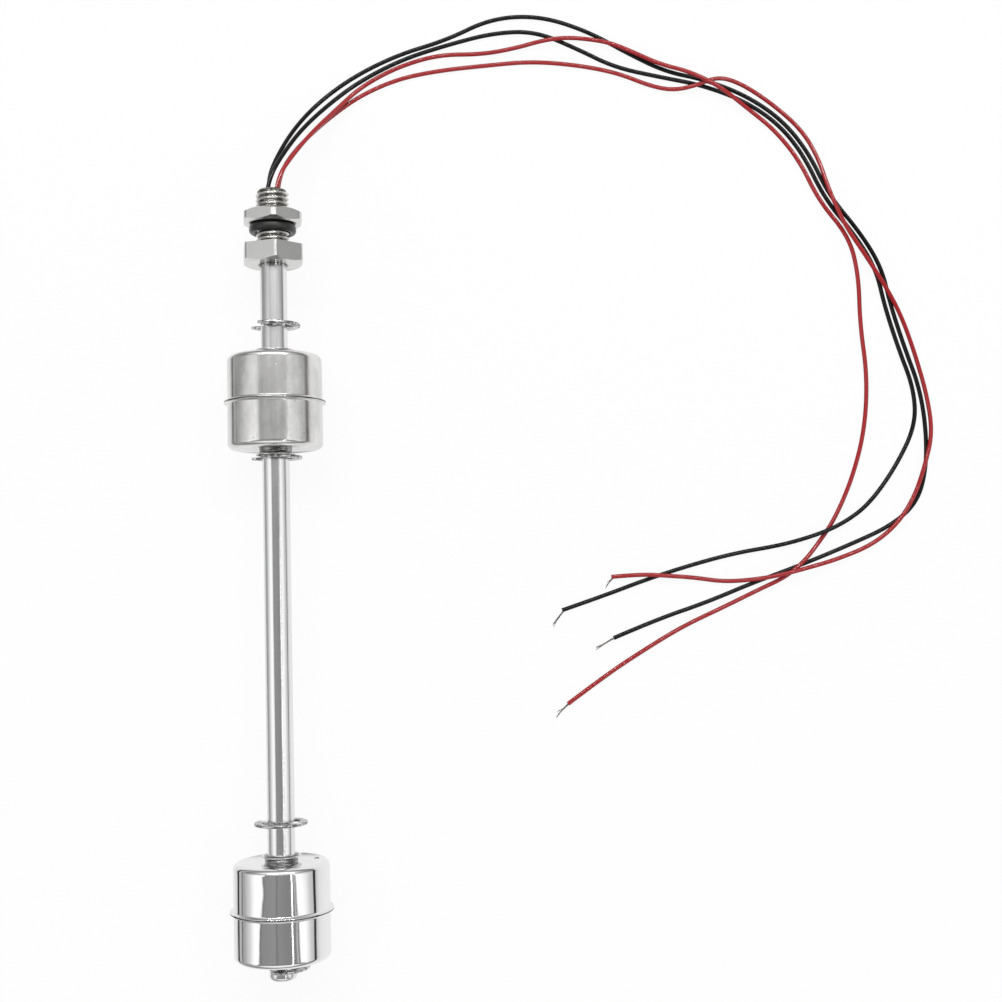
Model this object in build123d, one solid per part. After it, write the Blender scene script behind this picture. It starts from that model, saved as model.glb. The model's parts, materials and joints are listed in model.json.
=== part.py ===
"""Stainless steel float level switch with two floats and four wires.

The switch lies on its side on a table, as it does when it isn't fitted in a
tank. The stem's axis runs along Y, the threaded end and the wires point to +Y,
and the table is the plane z = 0, on which the weld beads of the two floats rest.
The origin is the middle of the switch's length, on the table. Millimetres.
"""

from build123d import *
import math
import os

# Threaded fitting: one turned piece with a hexagon and a hollow thread
THREAD_D = 9.85
THREAD_LENGTH = 17.0
THREAD_END_CHAMFER = 0.9
HEX_ACROSS_FLATS = 17.0
HEX_THICKNESS = 5.7
HEX_TURN = 13.0
CORNER_BEVEL = 30.0
BEVEL_CUT_MARGIN = 1.0
CABLE_BORE_D = 6.0
STEM_SOCKET_DEPTH = 4.5

# Lock nut and rubber seal ring on the thread
NUT_ACROSS_FLATS = 17.0
NUT_THICKNESS = 4.0
NUT_TURN = 11.0
NUT_THREAD_CLEARANCE = 0.075
NUT_BORE_CHAMFER = 0.5
NUT_TO_SEAL_GAP = 0.05
SEAL_SECTION_WIDTH = 2.0
SEAL_SECTION_HEIGHT = 2.6
SEAL_SECTION_ROUNDING = 0.95
SEAL_STRETCH_CLEARANCE = 0.075
SEAL_TO_HEX = 3.8

# Stem: a drawn tube, closed at the far end by a welded plug
STEM_D = 8.0
STEM_WALL = 1.0
STEM_LENGTH = 215.4
GROOVE_D = 7.0
GROOVE_SIDE_CLEARANCE = 0.05
PLUG_HEAD = 1.6
PLUG_ROUNDING = 1.3
PLUG_SPIGOT = 3.0
FIT_CLEARANCE = 0.02

# Retaining clips: the upper pair is set from the sealing face, the lower pair from the stem's end
CLIP_D = 15.6
CLIP_BAND_WIDTH = 2.3
CLIP_THICKNESS = 0.8
CLIP_LUG_WIDTH = 2.8
CLIP_LUG_INTO_BAND = 0.3
CLIP_MOUTH_HALF_ANGLE = 40.0
UPPER_STOP_PLACE = 23.9
LOWER_REST_TO_STEM_END = 3.6
CLIP_TURNS = {"upper_stop_clip": 200.0, "upper_rest_clip": 205.0,
              "lower_stop_clip": 115.0, "lower_rest_clip": 215.0}

# Float: two drawn cups welded at their rims, round a sleeve with flared lips
FLOAT_D = 28.0
FLOAT_HEIGHT = 28.0
FLOAT_CORNER = 1.8
FLOAT_WALL = 0.4
BEAD_D = 30.0
BEAD_RIM = 0.4
SLEEVE_BORE_D = 9.0
SLEEVE_WALL = 0.3
LIP_D = 11.6
LIP_REACH = 1.7
UPPER_FLOAT_TRAVEL = 7.0
LOWER_FLOAT_TRAVEL = 8.6
FLOAT_REST_GAP = 0.3
STOP_GAP = 0.1
VENT_WELD_D = 1.5
VENT_WELD_RISE = 0.25
VENT_WELD_PLACE = 12.1
VENT_WELD_ANGLE = 35.0

# Ring magnet inside each float, at mid height on a spacer tube
MAGNET_D = 17.0
MAGNET_HEIGHT = 8.0
MAGNET_CLEARANCE = 0.1
SPACER_D = 12.4

# Reed switches inside the stem, one for each float
REED_GLASS_D = 2.0
REED_GLASS_LENGTH = 14.0
REED_GLASS_WALL = 0.3
REED_SEAL = 1.8
BLADE_WIDTH = 1.0
BLADE_THICKNESS = 0.18
BLADE_OVERLAP = 0.9
BLADE_GAP = 0.08
LEAD_D = 0.5
LEAD_OUTSIDE = 4.0
REED_TUBING_WALL = 0.2
REED_TUBING_LENGTH = 16.0

# Wires: insulated, four in a square where they come up the stem
WIRE_D = 1.3
WIRE_SPACING = 2.8
WIRE_STRAIGHT = 5.0
POTTING_RECESS = 1.0
POTTING_DEPTH = 8.0
STRANDS_D = 0.8
HOOK_STRAIGHT = 1.2
HOOK_RADIUS = 0.5

# Arc of a wire's corner, as a share of the shorter of the two runs that meet there
ARC_SHARE = 0.45

# Height of a wire's centre line on the table, on one wire, and on two wires
ON_TABLE = 0.7
ON_ONE = 2.3
ON_TWO = 3.8

BLACK_OUTER = [
    (1.0, 127.5, 11.3), (6.4, 137.5, 6.6), (13.8, 147.1, 2.4), (23.8, 156.1, ON_TABLE), (37.8, 162.7, ON_TABLE),
    (52.8, 166.9, ON_TABLE), (66.8, 173.5, ON_TABLE), (81.8, 174.1, ON_TABLE), (96.8, 168.9, ON_TABLE),
    (109.8, 161.1, ON_TABLE), (121.3, 155.1, ON_TABLE), (132.8, 152.5, ON_TABLE), (145.8, 147.1, ON_TABLE),
    (156.8, 139.1, ON_TABLE), (164.8, 128.4, ON_TABLE), (170.6, 114.7, ON_TABLE), (180.0, 102.5, ON_TABLE),
    (186.0, 91.6, ON_TABLE), (188.2, 80.1, ON_TABLE), (191.9, 66.9, ON_TABLE), (196.1, 54.1, ON_TABLE),
    (197.6, 41.1, ON_TABLE), (197.1, 28.6, ON_TABLE), (193.8, 18.4, ON_TABLE), (185.4, 11.5, ON_TABLE),
    (171.8, 5.8, ON_TABLE), (157.8, 0.4, ON_TABLE), (142.8, -4.7, ON_TABLE), (128.0, -10.5, ON_TABLE),
    (113.3, -15.1, ON_TABLE), (99.8, -20.5, ON_TABLE)]
BLACK_INNER = [
    (2.0, 127.3, 14.2), (8.0, 136.7, 9.2), (15.6, 145.7, 4.2), (25.2, 154.3, ON_TABLE), (38.8, 161.1, ON_TABLE),
    (53.8, 165.6, ON_TABLE), (67.8, 168.9, ON_TABLE), (80.8, 169.1, ON_TABLE), (93.8, 163.1, ON_TABLE),
    (105.3, 156.9, ON_TABLE), (120.3, 153.3, ON_TABLE), (132.1, 150.7, ON_TABLE), (145.0, 145.5, ON_TABLE),
    (155.6, 137.9, ON_TABLE), (163.2, 127.7, ON_TABLE), (169.2, 113.7, ON_TABLE), (178.4, 101.7, ON_TABLE),
    (184.3, 91.1, ON_TABLE), (186.4, 79.7, ON_TABLE), (190.1, 66.4, ON_TABLE), (194.4, 53.6, ON_TABLE),
    (194.4, 42.1, ON_TABLE), (187.4, 29.1, ON_TABLE), (178.8, 18.1, 1.1), (170.3, 12.5, ON_ONE),
    (162.3, 9.3, ON_ONE), (151.8, 6.5, ON_TABLE), (137.8, 4.5, ON_TABLE), (123.8, 1.1, ON_TABLE),
    (109.8, -3.1, ON_TABLE), (96.8, -7.7, ON_TABLE), (84.3, -11.7, ON_TABLE)]
RED_INNER = [
    (4.8, 127.3, 14.0), (10.4, 136.1, 9.2), (18.0, 144.9, 4.4), (26.2, 152.7, 1.2), (37.3, 158.7, ON_TABLE),
    (50.3, 162.4, ON_TABLE), (63.8, 162.1, ON_TABLE), (74.8, 163.7, 1.3), (82.8, 165.5, ON_ONE),
    (90.3, 166.3, ON_ONE), (98.3, 165.7, 1.6), (104.3, 164.1, ON_ONE), (111.0, 161.1, ON_ONE),
    (119.3, 157.0, ON_ONE), (128.3, 153.9, ON_TWO), (137.3, 149.1, ON_TWO), (146.4, 142.5, 1.3),
    (154.4, 135.9, ON_TABLE), (161.8, 126.1, ON_TABLE), (167.4, 113.1, ON_TABLE), (176.4, 101.5, ON_TABLE),
    (178.8, 89.1, ON_TABLE), (178.6, 74.1, ON_TABLE), (180.2, 58.1, ON_TABLE), (178.8, 41.6, ON_TABLE),
    (174.4, 26.6, ON_TABLE), (168.2, 13.6, ON_TABLE), (162.4, 5.9, ON_TABLE), (158.2, 1.3, ON_ONE),
    (152.4, -3.3, ON_ONE), (144.8, -6.7, ON_TABLE), (133.8, -11.8, ON_TABLE), (120.8, -17.5, ON_TABLE),
    (109.3, -24.1, ON_TABLE), (97.0, -31.7, ON_TABLE), (85.3, -40.1, ON_TABLE)]
RED_OUTER = [
    (4.6, 127.5, 11.2), (11.0, 136.3, 6.4), (18.6, 143.7, 2.4), (26.8, 149.3, ON_TABLE), (38.3, 153.9, ON_TABLE),
    (50.8, 156.5, ON_TABLE), (64.8, 158.5, ON_TABLE), (78.8, 159.5, ON_TABLE), (92.8, 158.1, ON_TABLE),
    (105.8, 155.3, ON_TABLE), (116.8, 150.5, ON_TABLE), (123.8, 149.1, 1.0), (130.6, 150.1, ON_ONE),
    (137.2, 152.7, ON_ONE), (144.8, 150.7, 0.9), (154.8, 143.5, ON_TABLE), (163.2, 135.3, ON_TABLE),
    (167.8, 126.1, 1.0), (170.1, 116.6, ON_ONE), (174.6, 105.1, ON_ONE), (180.3, 96.1, ON_ONE),
    (187.3, 84.1, ON_ONE), (191.6, 75.1, 1.7), (195.4, 63.6, ON_TABLE), (198.4, 51.1, ON_TABLE),
    (199.2, 39.7, 1.7), (196.4, 30.1, ON_ONE), (192.8, 20.5, ON_ONE), (187.2, 12.1, ON_ONE),
    (179.4, 5.9, 1.3), (168.8, 1.9, 1.9), (158.8, -0.7, ON_TWO), (150.3, -2.7, ON_TWO), (142.8, -3.8, 1.9),
    (133.8, -4.2, ON_TABLE), (124.8, -2.7, 1.1), (116.8, -2.0, ON_ONE), (108.4, -1.3, ON_ONE),
    (99.6, -1.9, 0.9)]

# Each wire: its corner of the square, side and height, its route and the tip of its bare strands
WIRES = {
    "black_outer": (-1, -1, BLACK_OUTER, (94.2, -23.5, 0.45)),
    "black_inner": (-1, 1, BLACK_INNER, (81.9, -16.3, 0.45)),
    "red_inner": (1, 1, RED_INNER, (82.0, -43.5, 0.45)),
    "red_outer": (1, -1, RED_OUTER, (98.2, -5.1, 0.6))}
STRANDS_STRAIGHT = 1.4

# Places along the stem, worked out from the sizes above
AXIS_Z = BEAD_D / 2
SEALING_FACE = (STEM_LENGTH - THREAD_LENGTH) / 2
THREAD_END = SEALING_FACE + THREAD_LENGTH
HEX_BACK = SEALING_FACE - HEX_THICKNESS
STEM_END = SEALING_FACE - STEM_LENGTH
STEM_BORE_D = STEM_D - 2 * STEM_WALL
FLOAT_AND_GAPS = FLOAT_HEIGHT + 2 * LIP_REACH + FLOAT_REST_GAP + STOP_GAP
UPPER_STOP_Y = SEALING_FACE - UPPER_STOP_PLACE
LOWER_REST_Y = STEM_END + LOWER_REST_TO_STEM_END
CLIP_Y = {"upper_stop_clip": UPPER_STOP_Y,
          "upper_rest_clip": UPPER_STOP_Y - UPPER_FLOAT_TRAVEL - FLOAT_AND_GAPS - CLIP_THICKNESS,
          "lower_stop_clip": LOWER_REST_Y + LOWER_FLOAT_TRAVEL + FLOAT_AND_GAPS + CLIP_THICKNESS,
          "lower_rest_clip": LOWER_REST_Y}
SLEEVE_D = SLEEVE_BORE_D + 2 * SLEEVE_WALL
POTTING_TOP = THREAD_END - POTTING_RECESS
POTTING_BOTTOM = POTTING_TOP - POTTING_DEPTH


def turned(profile):
    """A piece turned about the stem's axis; the profile's x is the radius."""
    return revolve(profile, Axis.Y, 360)


def block(r_in, r_out, y_low, y_high):
    """The half section of a plain ring."""
    return Pos((r_in + r_out) / 2, (y_low + y_high) / 2) * Rectangle(r_out - r_in, y_high - y_low)


def across(sketch, y_low, y_high):
    """A flat shape square to the stem, as thick as from y_low to y_high."""
    plane = Plane(origin=(0, y_low, 0), x_dir=(1, 0, 0), z_dir=(0, 1, 0))
    return extrude(plane * sketch, y_high - y_low)


def hexagon(across_flats, y_low, y_high, turn, bevels):
    """A hexagon bar's length, with its corners turned off at the chosen ends."""
    radius = across_flats / math.sqrt(3)
    bar = across(Rot(0, 0, turn + 30) * RegularPolygon(radius, 6), y_low, y_high)
    outside = radius + BEVEL_CUT_MARGIN
    drop = (outside - across_flats / 2) * math.tan(math.radians(CORNER_BEVEL))
    for y_end, inward in bevels:
        corner = Polyline((across_flats / 2, y_end), (outside, y_end), (outside, y_end + inward * drop), close=True)
        bar -= turned(make_face(corner))
    return bar


def threaded_fitting():
    """Hexagon with the thread on one side and the stem's socket on the other."""
    hexagon_body = hexagon(HEX_ACROSS_FLATS, HEX_BACK, SEALING_FACE, HEX_TURN, [(HEX_BACK, 1)])
    thread = turned(block(0, THREAD_D / 2, SEALING_FACE, THREAD_END))
    end_edge = thread.edges().filter_by(GeomType.CIRCLE).sort_by(Axis.Y)[-1]
    thread = chamfer(end_edge, THREAD_END_CHAMFER)
    socket_top = HEX_BACK + STEM_SOCKET_DEPTH
    socket = turned(block(0, STEM_D / 2 + FIT_CLEARANCE, HEX_BACK, socket_top))
    bore = turned(block(0, CABLE_BORE_D / 2, HEX_BACK, THREAD_END))
    return hexagon_body + thread - socket - bore


def nut_bottom():
    return SEALING_FACE + SEAL_TO_HEX + SEAL_SECTION_HEIGHT + NUT_TO_SEAL_GAP


def lock_nut():
    """Hexagon nut, bevelled on both faces; its fine thread is left plain."""
    low = nut_bottom()
    high = low + NUT_THICKNESS
    bore_r = THREAD_D / 2 + NUT_THREAD_CLEARANCE
    body = hexagon(NUT_ACROSS_FLATS, low, high, NUT_TURN, [(low, 1), (high, -1)])
    wide = bore_r + NUT_BORE_CHAMFER
    hole = Polyline((0, low), (wide, low), (bore_r, low + NUT_BORE_CHAMFER), (bore_r, high - NUT_BORE_CHAMFER),
                    (wide, high), (0, high), close=True)
    return body - turned(make_face(hole))


def seal_ring():
    """Rubber ring of rounded section, lying against the nut."""
    centre_r = THREAD_D / 2 + SEAL_STRETCH_CLEARANCE + SEAL_SECTION_WIDTH / 2
    section = RectangleRounded(SEAL_SECTION_WIDTH, SEAL_SECTION_HEIGHT, SEAL_SECTION_ROUNDING)
    return turned(Pos(centre_r, SEALING_FACE + SEAL_TO_HEX + SEAL_SECTION_HEIGHT / 2) * section)


def stem_tube():
    """Drawn tube with a groove for each clip."""
    tube = turned(block(STEM_BORE_D / 2, STEM_D / 2, STEM_END + PLUG_HEAD, HEX_BACK + STEM_SOCKET_DEPTH))
    half = CLIP_THICKNESS / 2 + GROOVE_SIDE_CLEARANCE
    for y in CLIP_Y.values():
        tube -= turned(block(GROOVE_D / 2, STEM_D / 2 + 1, y - half, y + half))
    return tube


def stem_end_plug():
    """Rounded plug, its spigot in the tube and its head welded to the rim."""
    head = turned(block(0, STEM_D / 2, STEM_END, STEM_END + PLUG_HEAD))
    rim = head.edges().filter_by(GeomType.CIRCLE).sort_by(Axis.Y)[0]
    spigot_r = STEM_BORE_D / 2 - FIT_CLEARANCE
    spigot = turned(block(0, spigot_r, STEM_END + PLUG_HEAD, STEM_END + PLUG_HEAD + PLUG_SPIGOT))
    return fillet(rim, PLUG_ROUNDING) + spigot


def retaining_clip(name):
    """Open spring clip whose three lugs sit on the bottom of the groove."""
    band_r = CLIP_D / 2 - CLIP_BAND_WIDTH
    seat_r = GROOVE_D / 2 + FIT_CLEARANCE
    lug_angle = CLIP_MOUTH_HALF_ANGLE + math.degrees(CLIP_LUG_WIDTH / 2 / band_r)
    shape = Circle(CLIP_D / 2) - Circle(band_r)
    for angle in (180, lug_angle, -lug_angle):
        lug = Rectangle(band_r, CLIP_LUG_WIDTH, align=(Align.MIN, Align.CENTER))
        shape += Rot(0, 0, angle) * Pos(CLIP_LUG_INTO_BAND, 0) * lug
    reach = CLIP_D
    half_mouth = reach * math.tan(math.radians(CLIP_MOUTH_HALF_ANGLE))
    mouth = make_face(Polyline((0, 0), (reach, half_mouth), (reach, -half_mouth), close=True))
    shape = shape - Circle(seat_r) - mouth
    y = CLIP_Y[name]
    return across(Rot(0, 0, CLIP_TURNS[name]) * shape, y - CLIP_THICKNESS / 2, y + CLIP_THICKNESS / 2)


def float_top_face(rest_clip):
    """Where the top of a float lies when its lower lip is at its rest clip."""
    return CLIP_Y[rest_clip] + CLIP_THICKNESS / 2 + FLOAT_REST_GAP + LIP_REACH + FLOAT_HEIGHT


def drawn_cup(seam_y, face_y, weld_mark):
    """One half shell: flat end with a hole, rounded corner, wall and outward rim."""
    toward = 1 if face_y > seam_y else -1
    hole_r = SLEEVE_D / 2 + FIT_CLEARANCE
    outer_r, inner_r = FLOAT_D / 2, FLOAT_D / 2 - FLOAT_WALL
    corner_r = FLOAT_CORNER
    inner_corner_r = FLOAT_CORNER - FLOAT_WALL
    corner_y = face_y - toward * corner_r
    diagonal = math.sqrt(0.5)
    centre_r = outer_r - corner_r

    def on_corner(radius):
        return (centre_r + radius * diagonal, corner_y + toward * radius * diagonal)

    rim_y = seam_y + toward * BEAD_RIM
    outline = Curve() + [
        Line((hole_r, face_y), (centre_r, face_y)),
        ThreePointArc((centre_r, face_y), on_corner(corner_r), (outer_r, corner_y)),
        Polyline((outer_r, corner_y), (outer_r, rim_y), (BEAD_D / 2, rim_y), (BEAD_D / 2, seam_y),
                 (inner_r, seam_y), (inner_r, corner_y)),
        ThreePointArc((inner_r, corner_y), on_corner(inner_corner_r), (centre_r, face_y - toward * FLOAT_WALL)),
        Polyline((centre_r, face_y - toward * FLOAT_WALL), (hole_r, face_y - toward * FLOAT_WALL),
                 (hole_r, face_y))]
    cup = turned(make_face(outline))
    if weld_mark:
        cup += vent_weld(face_y)
    return cup


def vent_weld(face_y):
    """The small round weld that closes a float's vent hole."""
    angle = math.radians(VENT_WELD_ANGLE)
    x = VENT_WELD_PLACE * math.cos(angle)
    z = -VENT_WELD_PLACE * math.sin(angle)
    pip = across(Pos(x, -z) * Circle(VENT_WELD_D / 2), face_y - FLOAT_WALL / 2, face_y + VENT_WELD_RISE)
    return chamfer(pip.edges().sort_by(Axis.Y)[-1], VENT_WELD_RISE / 2)


def float_sleeve(seam_y):
    """Inner tube that slides on the stem, flared into a lip at each end."""
    r_in, r_out = SLEEVE_BORE_D / 2, SLEEVE_D / 2
    end = FLOAT_HEIGHT / 2 + LIP_REACH
    bend = LIP_D / 2 - r_out
    arc_y = end - SLEEVE_WALL - bend
    diagonal = math.sqrt(0.5)

    def half(side):
        """One end's wall: the outside, the lip's edge and the inside."""
        def at(radius, y):
            return (radius, seam_y + side * y)
        centre_r = LIP_D / 2
        wide = bend + SLEEVE_WALL
        return [
            Line(at(r_out, 0), at(r_out, arc_y)),
            ThreePointArc(at(r_out, arc_y), at(centre_r - bend * diagonal, arc_y + bend * diagonal),
                          at(centre_r, arc_y + bend)),
            Line(at(centre_r, arc_y + bend), at(centre_r, end)),
            ThreePointArc(at(centre_r, end), at(centre_r - wide * diagonal, arc_y + wide * diagonal),
                          at(r_in, arc_y)),
            Line(at(r_in, arc_y), at(r_in, 0))]

    return turned(make_face(Curve() + half(1) + half(-1)))


def ring_magnet(seam_y):
    """Ring magnet round the sleeve at the float's mid height."""
    bore_r = SLEEVE_D / 2 + MAGNET_CLEARANCE
    return turned(block(bore_r, MAGNET_D / 2, seam_y - MAGNET_HEIGHT / 2, seam_y + MAGNET_HEIGHT / 2))


def magnet_spacer(seam_y):
    """Tube from the float's lower end to the magnet, which it holds at mid height."""
    bore_r = SLEEVE_D / 2 + MAGNET_CLEARANCE
    low = seam_y - FLOAT_HEIGHT / 2 + FLOAT_WALL
    return turned(block(bore_r, SPACER_D / 2, low, seam_y - MAGNET_HEIGHT / 2))


def float_pieces(prefix, rest_clip):
    """The five pieces of one float, by name."""
    top = float_top_face(rest_clip)
    seam = top - FLOAT_HEIGHT / 2
    return {
        prefix + "_top_cup": drawn_cup(seam, top, True),
        prefix + "_bottom_cup": drawn_cup(seam, top - FLOAT_HEIGHT, False),
        prefix + "_sleeve": float_sleeve(seam),
        prefix + "_magnet": ring_magnet(seam),
        prefix + "_magnet_spacer": magnet_spacer(seam)}


def reed_centre(stop_clip):
    """The middle of a reed: level with the magnet when its float is up at the stop clip."""
    stop_y = CLIP_Y[stop_clip] - CLIP_THICKNESS / 2 - STOP_GAP
    return stop_y - LIP_REACH - FLOAT_HEIGHT / 2


def reed_glass(middle):
    """Glass capsule with a hollow middle and a sealed, bored end round each lead."""
    half = REED_GLASS_LENGTH / 2
    capsule = turned(block(0, REED_GLASS_D / 2, middle - half, middle + half))
    capsule = fillet(capsule.edges().filter_by(GeomType.CIRCLE), REED_GLASS_D / 5)
    hollow = half - REED_SEAL
    capsule -= turned(block(0, REED_GLASS_D / 2 - REED_GLASS_WALL, middle - hollow, middle + hollow))
    return capsule - turned(block(0, LEAD_D / 2 + FIT_CLEARANCE, middle - half, middle + half))


def reed_blade(middle, side):
    """Springy blade inside the glass, round lead through its end and out."""
    half = REED_GLASS_LENGTH / 2
    tip = -side * BLADE_OVERLAP / 2
    root = side * (half - REED_SEAL)
    out = side * (half + LEAD_OUTSIDE)
    offset = side * (BLADE_GAP + BLADE_THICKNESS) / 2
    blade = Pos(0, middle + (tip + root) / 2, offset) * Box(BLADE_WIDTH, abs(root - tip), BLADE_THICKNESS)
    low, high = sorted((middle + root, middle + out))
    return blade + turned(block(0, LEAD_D / 2, low, high))


def reed_tubing(middle):
    """Shrunk tubing that insulates the glass from the wires beside it."""
    bore_r = REED_GLASS_D / 2 + FIT_CLEARANCE
    half = REED_TUBING_LENGTH / 2
    return turned(block(bore_r, bore_r + REED_TUBING_WALL, middle - half, middle + half))


def round_run(path, diameter):
    """A round bar along a path."""
    return sweep(Plane(origin=path @ 0, z_dir=path % 0) * Circle(diameter / 2), path=path)


def inner_lead(side_x, side_z, middle, to_top):
    """Wire inside the stem, from the potting down to one lead of its reed."""
    x = side_x * WIRE_SPACING / 2
    z = side_z * WIRE_SPACING / 2
    lead_end = REED_GLASS_LENGTH / 2 + LEAD_OUTSIDE
    if to_top:
        joint_y = middle + lead_end
        bare_y = joint_y + 3 * HOOK_STRAIGHT
        hook = [(x, bare_y, z), (x, bare_y - HOOK_STRAIGHT, z), (0, joint_y + HOOK_STRAIGHT, 0), (0, joint_y, 0)]
    else:
        joint_y = middle - lead_end
        bare_y = joint_y
        turn_y = joint_y - HOOK_STRAIGHT
        hook = [(x, bare_y, z), (x, turn_y, z), (0, turn_y, 0), (0, joint_y, 0)]
    insulation = across(Pos(x, -z) * Circle(WIRE_D / 2), bare_y, POTTING_TOP)
    return insulation + round_run(FilletPolyline(*hook, radius=HOOK_RADIUS), LEAD_D)


def potting():
    """Resin plug that closes the fitting round the four wires."""
    plug = turned(block(0, CABLE_BORE_D / 2 - FIT_CLEARANCE, POTTING_BOTTOM, POTTING_TOP))
    hole_r = WIRE_D / 2 + FIT_CLEARANCE / 2
    half = WIRE_SPACING / 2
    for x in (-half, half):
        for z in (-half, half):
            plug -= across(Pos(x, -z) * Circle(hole_r), POTTING_BOTTOM, POTTING_TOP)
    return plug


def corner_radii(points):
    """The arc at each corner: as large as its two runs allow."""
    places = [Vector(p) for p in points]
    radii = []
    for before, corner, after in zip(places, places[1:], places[2:]):
        run_in, run_out = corner - before, after - corner
        half_turn = math.radians(run_in.get_angle(run_out)) / 2
        radii.append(ARC_SHARE * min(run_in.length, run_out.length) / math.tan(half_turn))
    return radii


def wire_route(side_x, side_z, points):
    """A wire's points: straight out of the potting, then the route on the table."""
    x = side_x * WIRE_SPACING / 2
    z = AXIS_Z + side_z * WIRE_SPACING / 2
    return [(x, POTTING_TOP, z), (x, POTTING_TOP + WIRE_STRAIGHT, z)] + points


def wire(name):
    """One free wire, straight runs joined by arcs."""
    side_x, side_z, points, _ = WIRES[name]
    route = wire_route(side_x, side_z, points)
    radii = corner_radii(route)
    path = FilletPolyline(*route, radius=radii)
    solid = round_run(path, WIRE_D)
    expected = path.length * math.pi * WIRE_D ** 2 / 4
    print(f"wire_{name}: length {path.length:.1f} mm, volume {solid.volume:.1f} of {expected:.1f} mm3, radii",
          " ".join(f"{r:.0f}" for r in radii))
    return solid


def bare_strands(name):
    """The stripped end: twisted strands that go straight on and then bend to their tip."""
    _, _, points, tip = WIRES[name]
    end, before = Vector(points[-1]), Vector(points[-2])
    ahead = (end - before).normalized()
    bend = end + ahead * STRANDS_STRAIGHT
    radius = corner_radii([end, bend, tip])
    return round_run(FilletPolyline(end, bend, Vector(tip), radius=radius), STRANDS_D)


def build():
    """Every piece by its node's name, in the part's own frame."""
    on_axis = {
        "threaded_fitting": threaded_fitting(),
        "lock_nut": lock_nut(),
        "seal_ring": seal_ring(),
        "stem_tube": stem_tube(),
        "stem_end_plug": stem_end_plug(),
        "wire_potting": potting()}
    for name in CLIP_Y:
        on_axis[name] = retaining_clip(name)
    on_axis.update(float_pieces("upper_float", "upper_rest_clip"))
    on_axis.update(float_pieces("lower_float", "lower_rest_clip"))
    switches = {"upper_reed": ("upper_stop_clip", "red_outer", "red_inner"),
                "lower_reed": ("lower_stop_clip", "black_outer", "black_inner")}
    for reed, (stop_clip, low_wire, top_wire) in switches.items():
        middle = reed_centre(stop_clip)
        on_axis[reed + "_glass"] = reed_glass(middle)
        on_axis[reed + "_top_blade"] = reed_blade(middle, 1)
        on_axis[reed + "_bottom_blade"] = reed_blade(middle, -1)
        on_axis[reed + "_tubing"] = reed_tubing(middle)
        for wire_name, to_top in ((low_wire, False), (top_wire, True)):
            side_x, side_z, _, _ = WIRES[wire_name]
            on_axis["inner_lead_" + wire_name] = inner_lead(side_x, side_z, middle, to_top)
    pieces = {name: Pos(0, 0, AXIS_Z) * solid for name, solid in on_axis.items()}
    for name in WIRES:
        pieces["wire_" + name] = wire(name)
        pieces["bare_strands_" + name] = bare_strands(name)
    return pieces


os.makedirs("parts", exist_ok=True)
for node, piece in build().items():
    export_step(piece, f"parts/{node}.step")
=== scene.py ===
"""Dresses the float level switch: its steel, rubber, wires and bare strands, and the table it lies on.

Metres, in the frame of the CAD model: the stem's axis runs along Y, the thread points to +Y, the wires lie out to +X
and the table is the plane z = 0.
"""

import json
import math
import random

import bmesh
import bpy
from bpy.props import FloatProperty, FloatVectorProperty, IntProperty, PointerProperty
from mathutils import Matrix, Vector


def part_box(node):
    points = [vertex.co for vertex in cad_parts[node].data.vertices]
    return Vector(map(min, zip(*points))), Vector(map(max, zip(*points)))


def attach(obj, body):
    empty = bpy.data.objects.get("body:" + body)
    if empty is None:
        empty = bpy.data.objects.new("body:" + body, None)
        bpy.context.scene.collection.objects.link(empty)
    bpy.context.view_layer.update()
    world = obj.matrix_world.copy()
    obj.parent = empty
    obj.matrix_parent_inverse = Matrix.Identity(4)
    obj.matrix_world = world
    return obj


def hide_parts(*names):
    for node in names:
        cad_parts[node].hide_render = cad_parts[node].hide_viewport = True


bl_info = {
    "name": "Float level switch",
    "version": (1, 0, 0),
    "blender": (4, 5, 0),
    "location": "3D View > Sidebar > Level Switch",
    "description": "Models the visible pieces of a steel float level switch and their finishes",
    "category": "Add Mesh",
}

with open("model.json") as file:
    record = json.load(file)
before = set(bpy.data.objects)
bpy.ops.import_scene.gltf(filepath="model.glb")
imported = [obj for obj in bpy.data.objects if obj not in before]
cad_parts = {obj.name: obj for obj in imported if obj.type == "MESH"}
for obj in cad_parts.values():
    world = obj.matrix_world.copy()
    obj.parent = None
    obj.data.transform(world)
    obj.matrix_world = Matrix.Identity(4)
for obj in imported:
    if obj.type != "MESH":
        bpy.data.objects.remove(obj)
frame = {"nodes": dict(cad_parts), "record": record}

# Places read from the frame: the stem's axis and the ends of the pieces on it
STEM_LOW, STEM_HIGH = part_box("stem_tube")
AXIS_Z = (STEM_LOW.z + STEM_HIGH.z) / 2
STEM_RADIUS = (STEM_HIGH.x - STEM_LOW.x) / 2
POTTING_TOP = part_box("wire_potting")[1].y
THREAD_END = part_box("threaded_fitting")[1].y
HEX_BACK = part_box("threaded_fitting")[0].y

# How near points are merged in made shapes, in the thread and in copied CAD meshes, and how near a cut takes them
MERGE = 0.0000005
COARSE_MERGE = 0.000002
CUT_MERGE = 0.0000002

# Height of a wire's centre line on the table, on one wire, and on two wires
ON_TABLE = 0.0007
ON_ONE = 0.0023
ON_TWO = 0.0038
WIRE_DIAMETER = 0.0013
WIRE_SPACING = 0.0028
WIRE_STRAIGHT = 0.005

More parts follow.
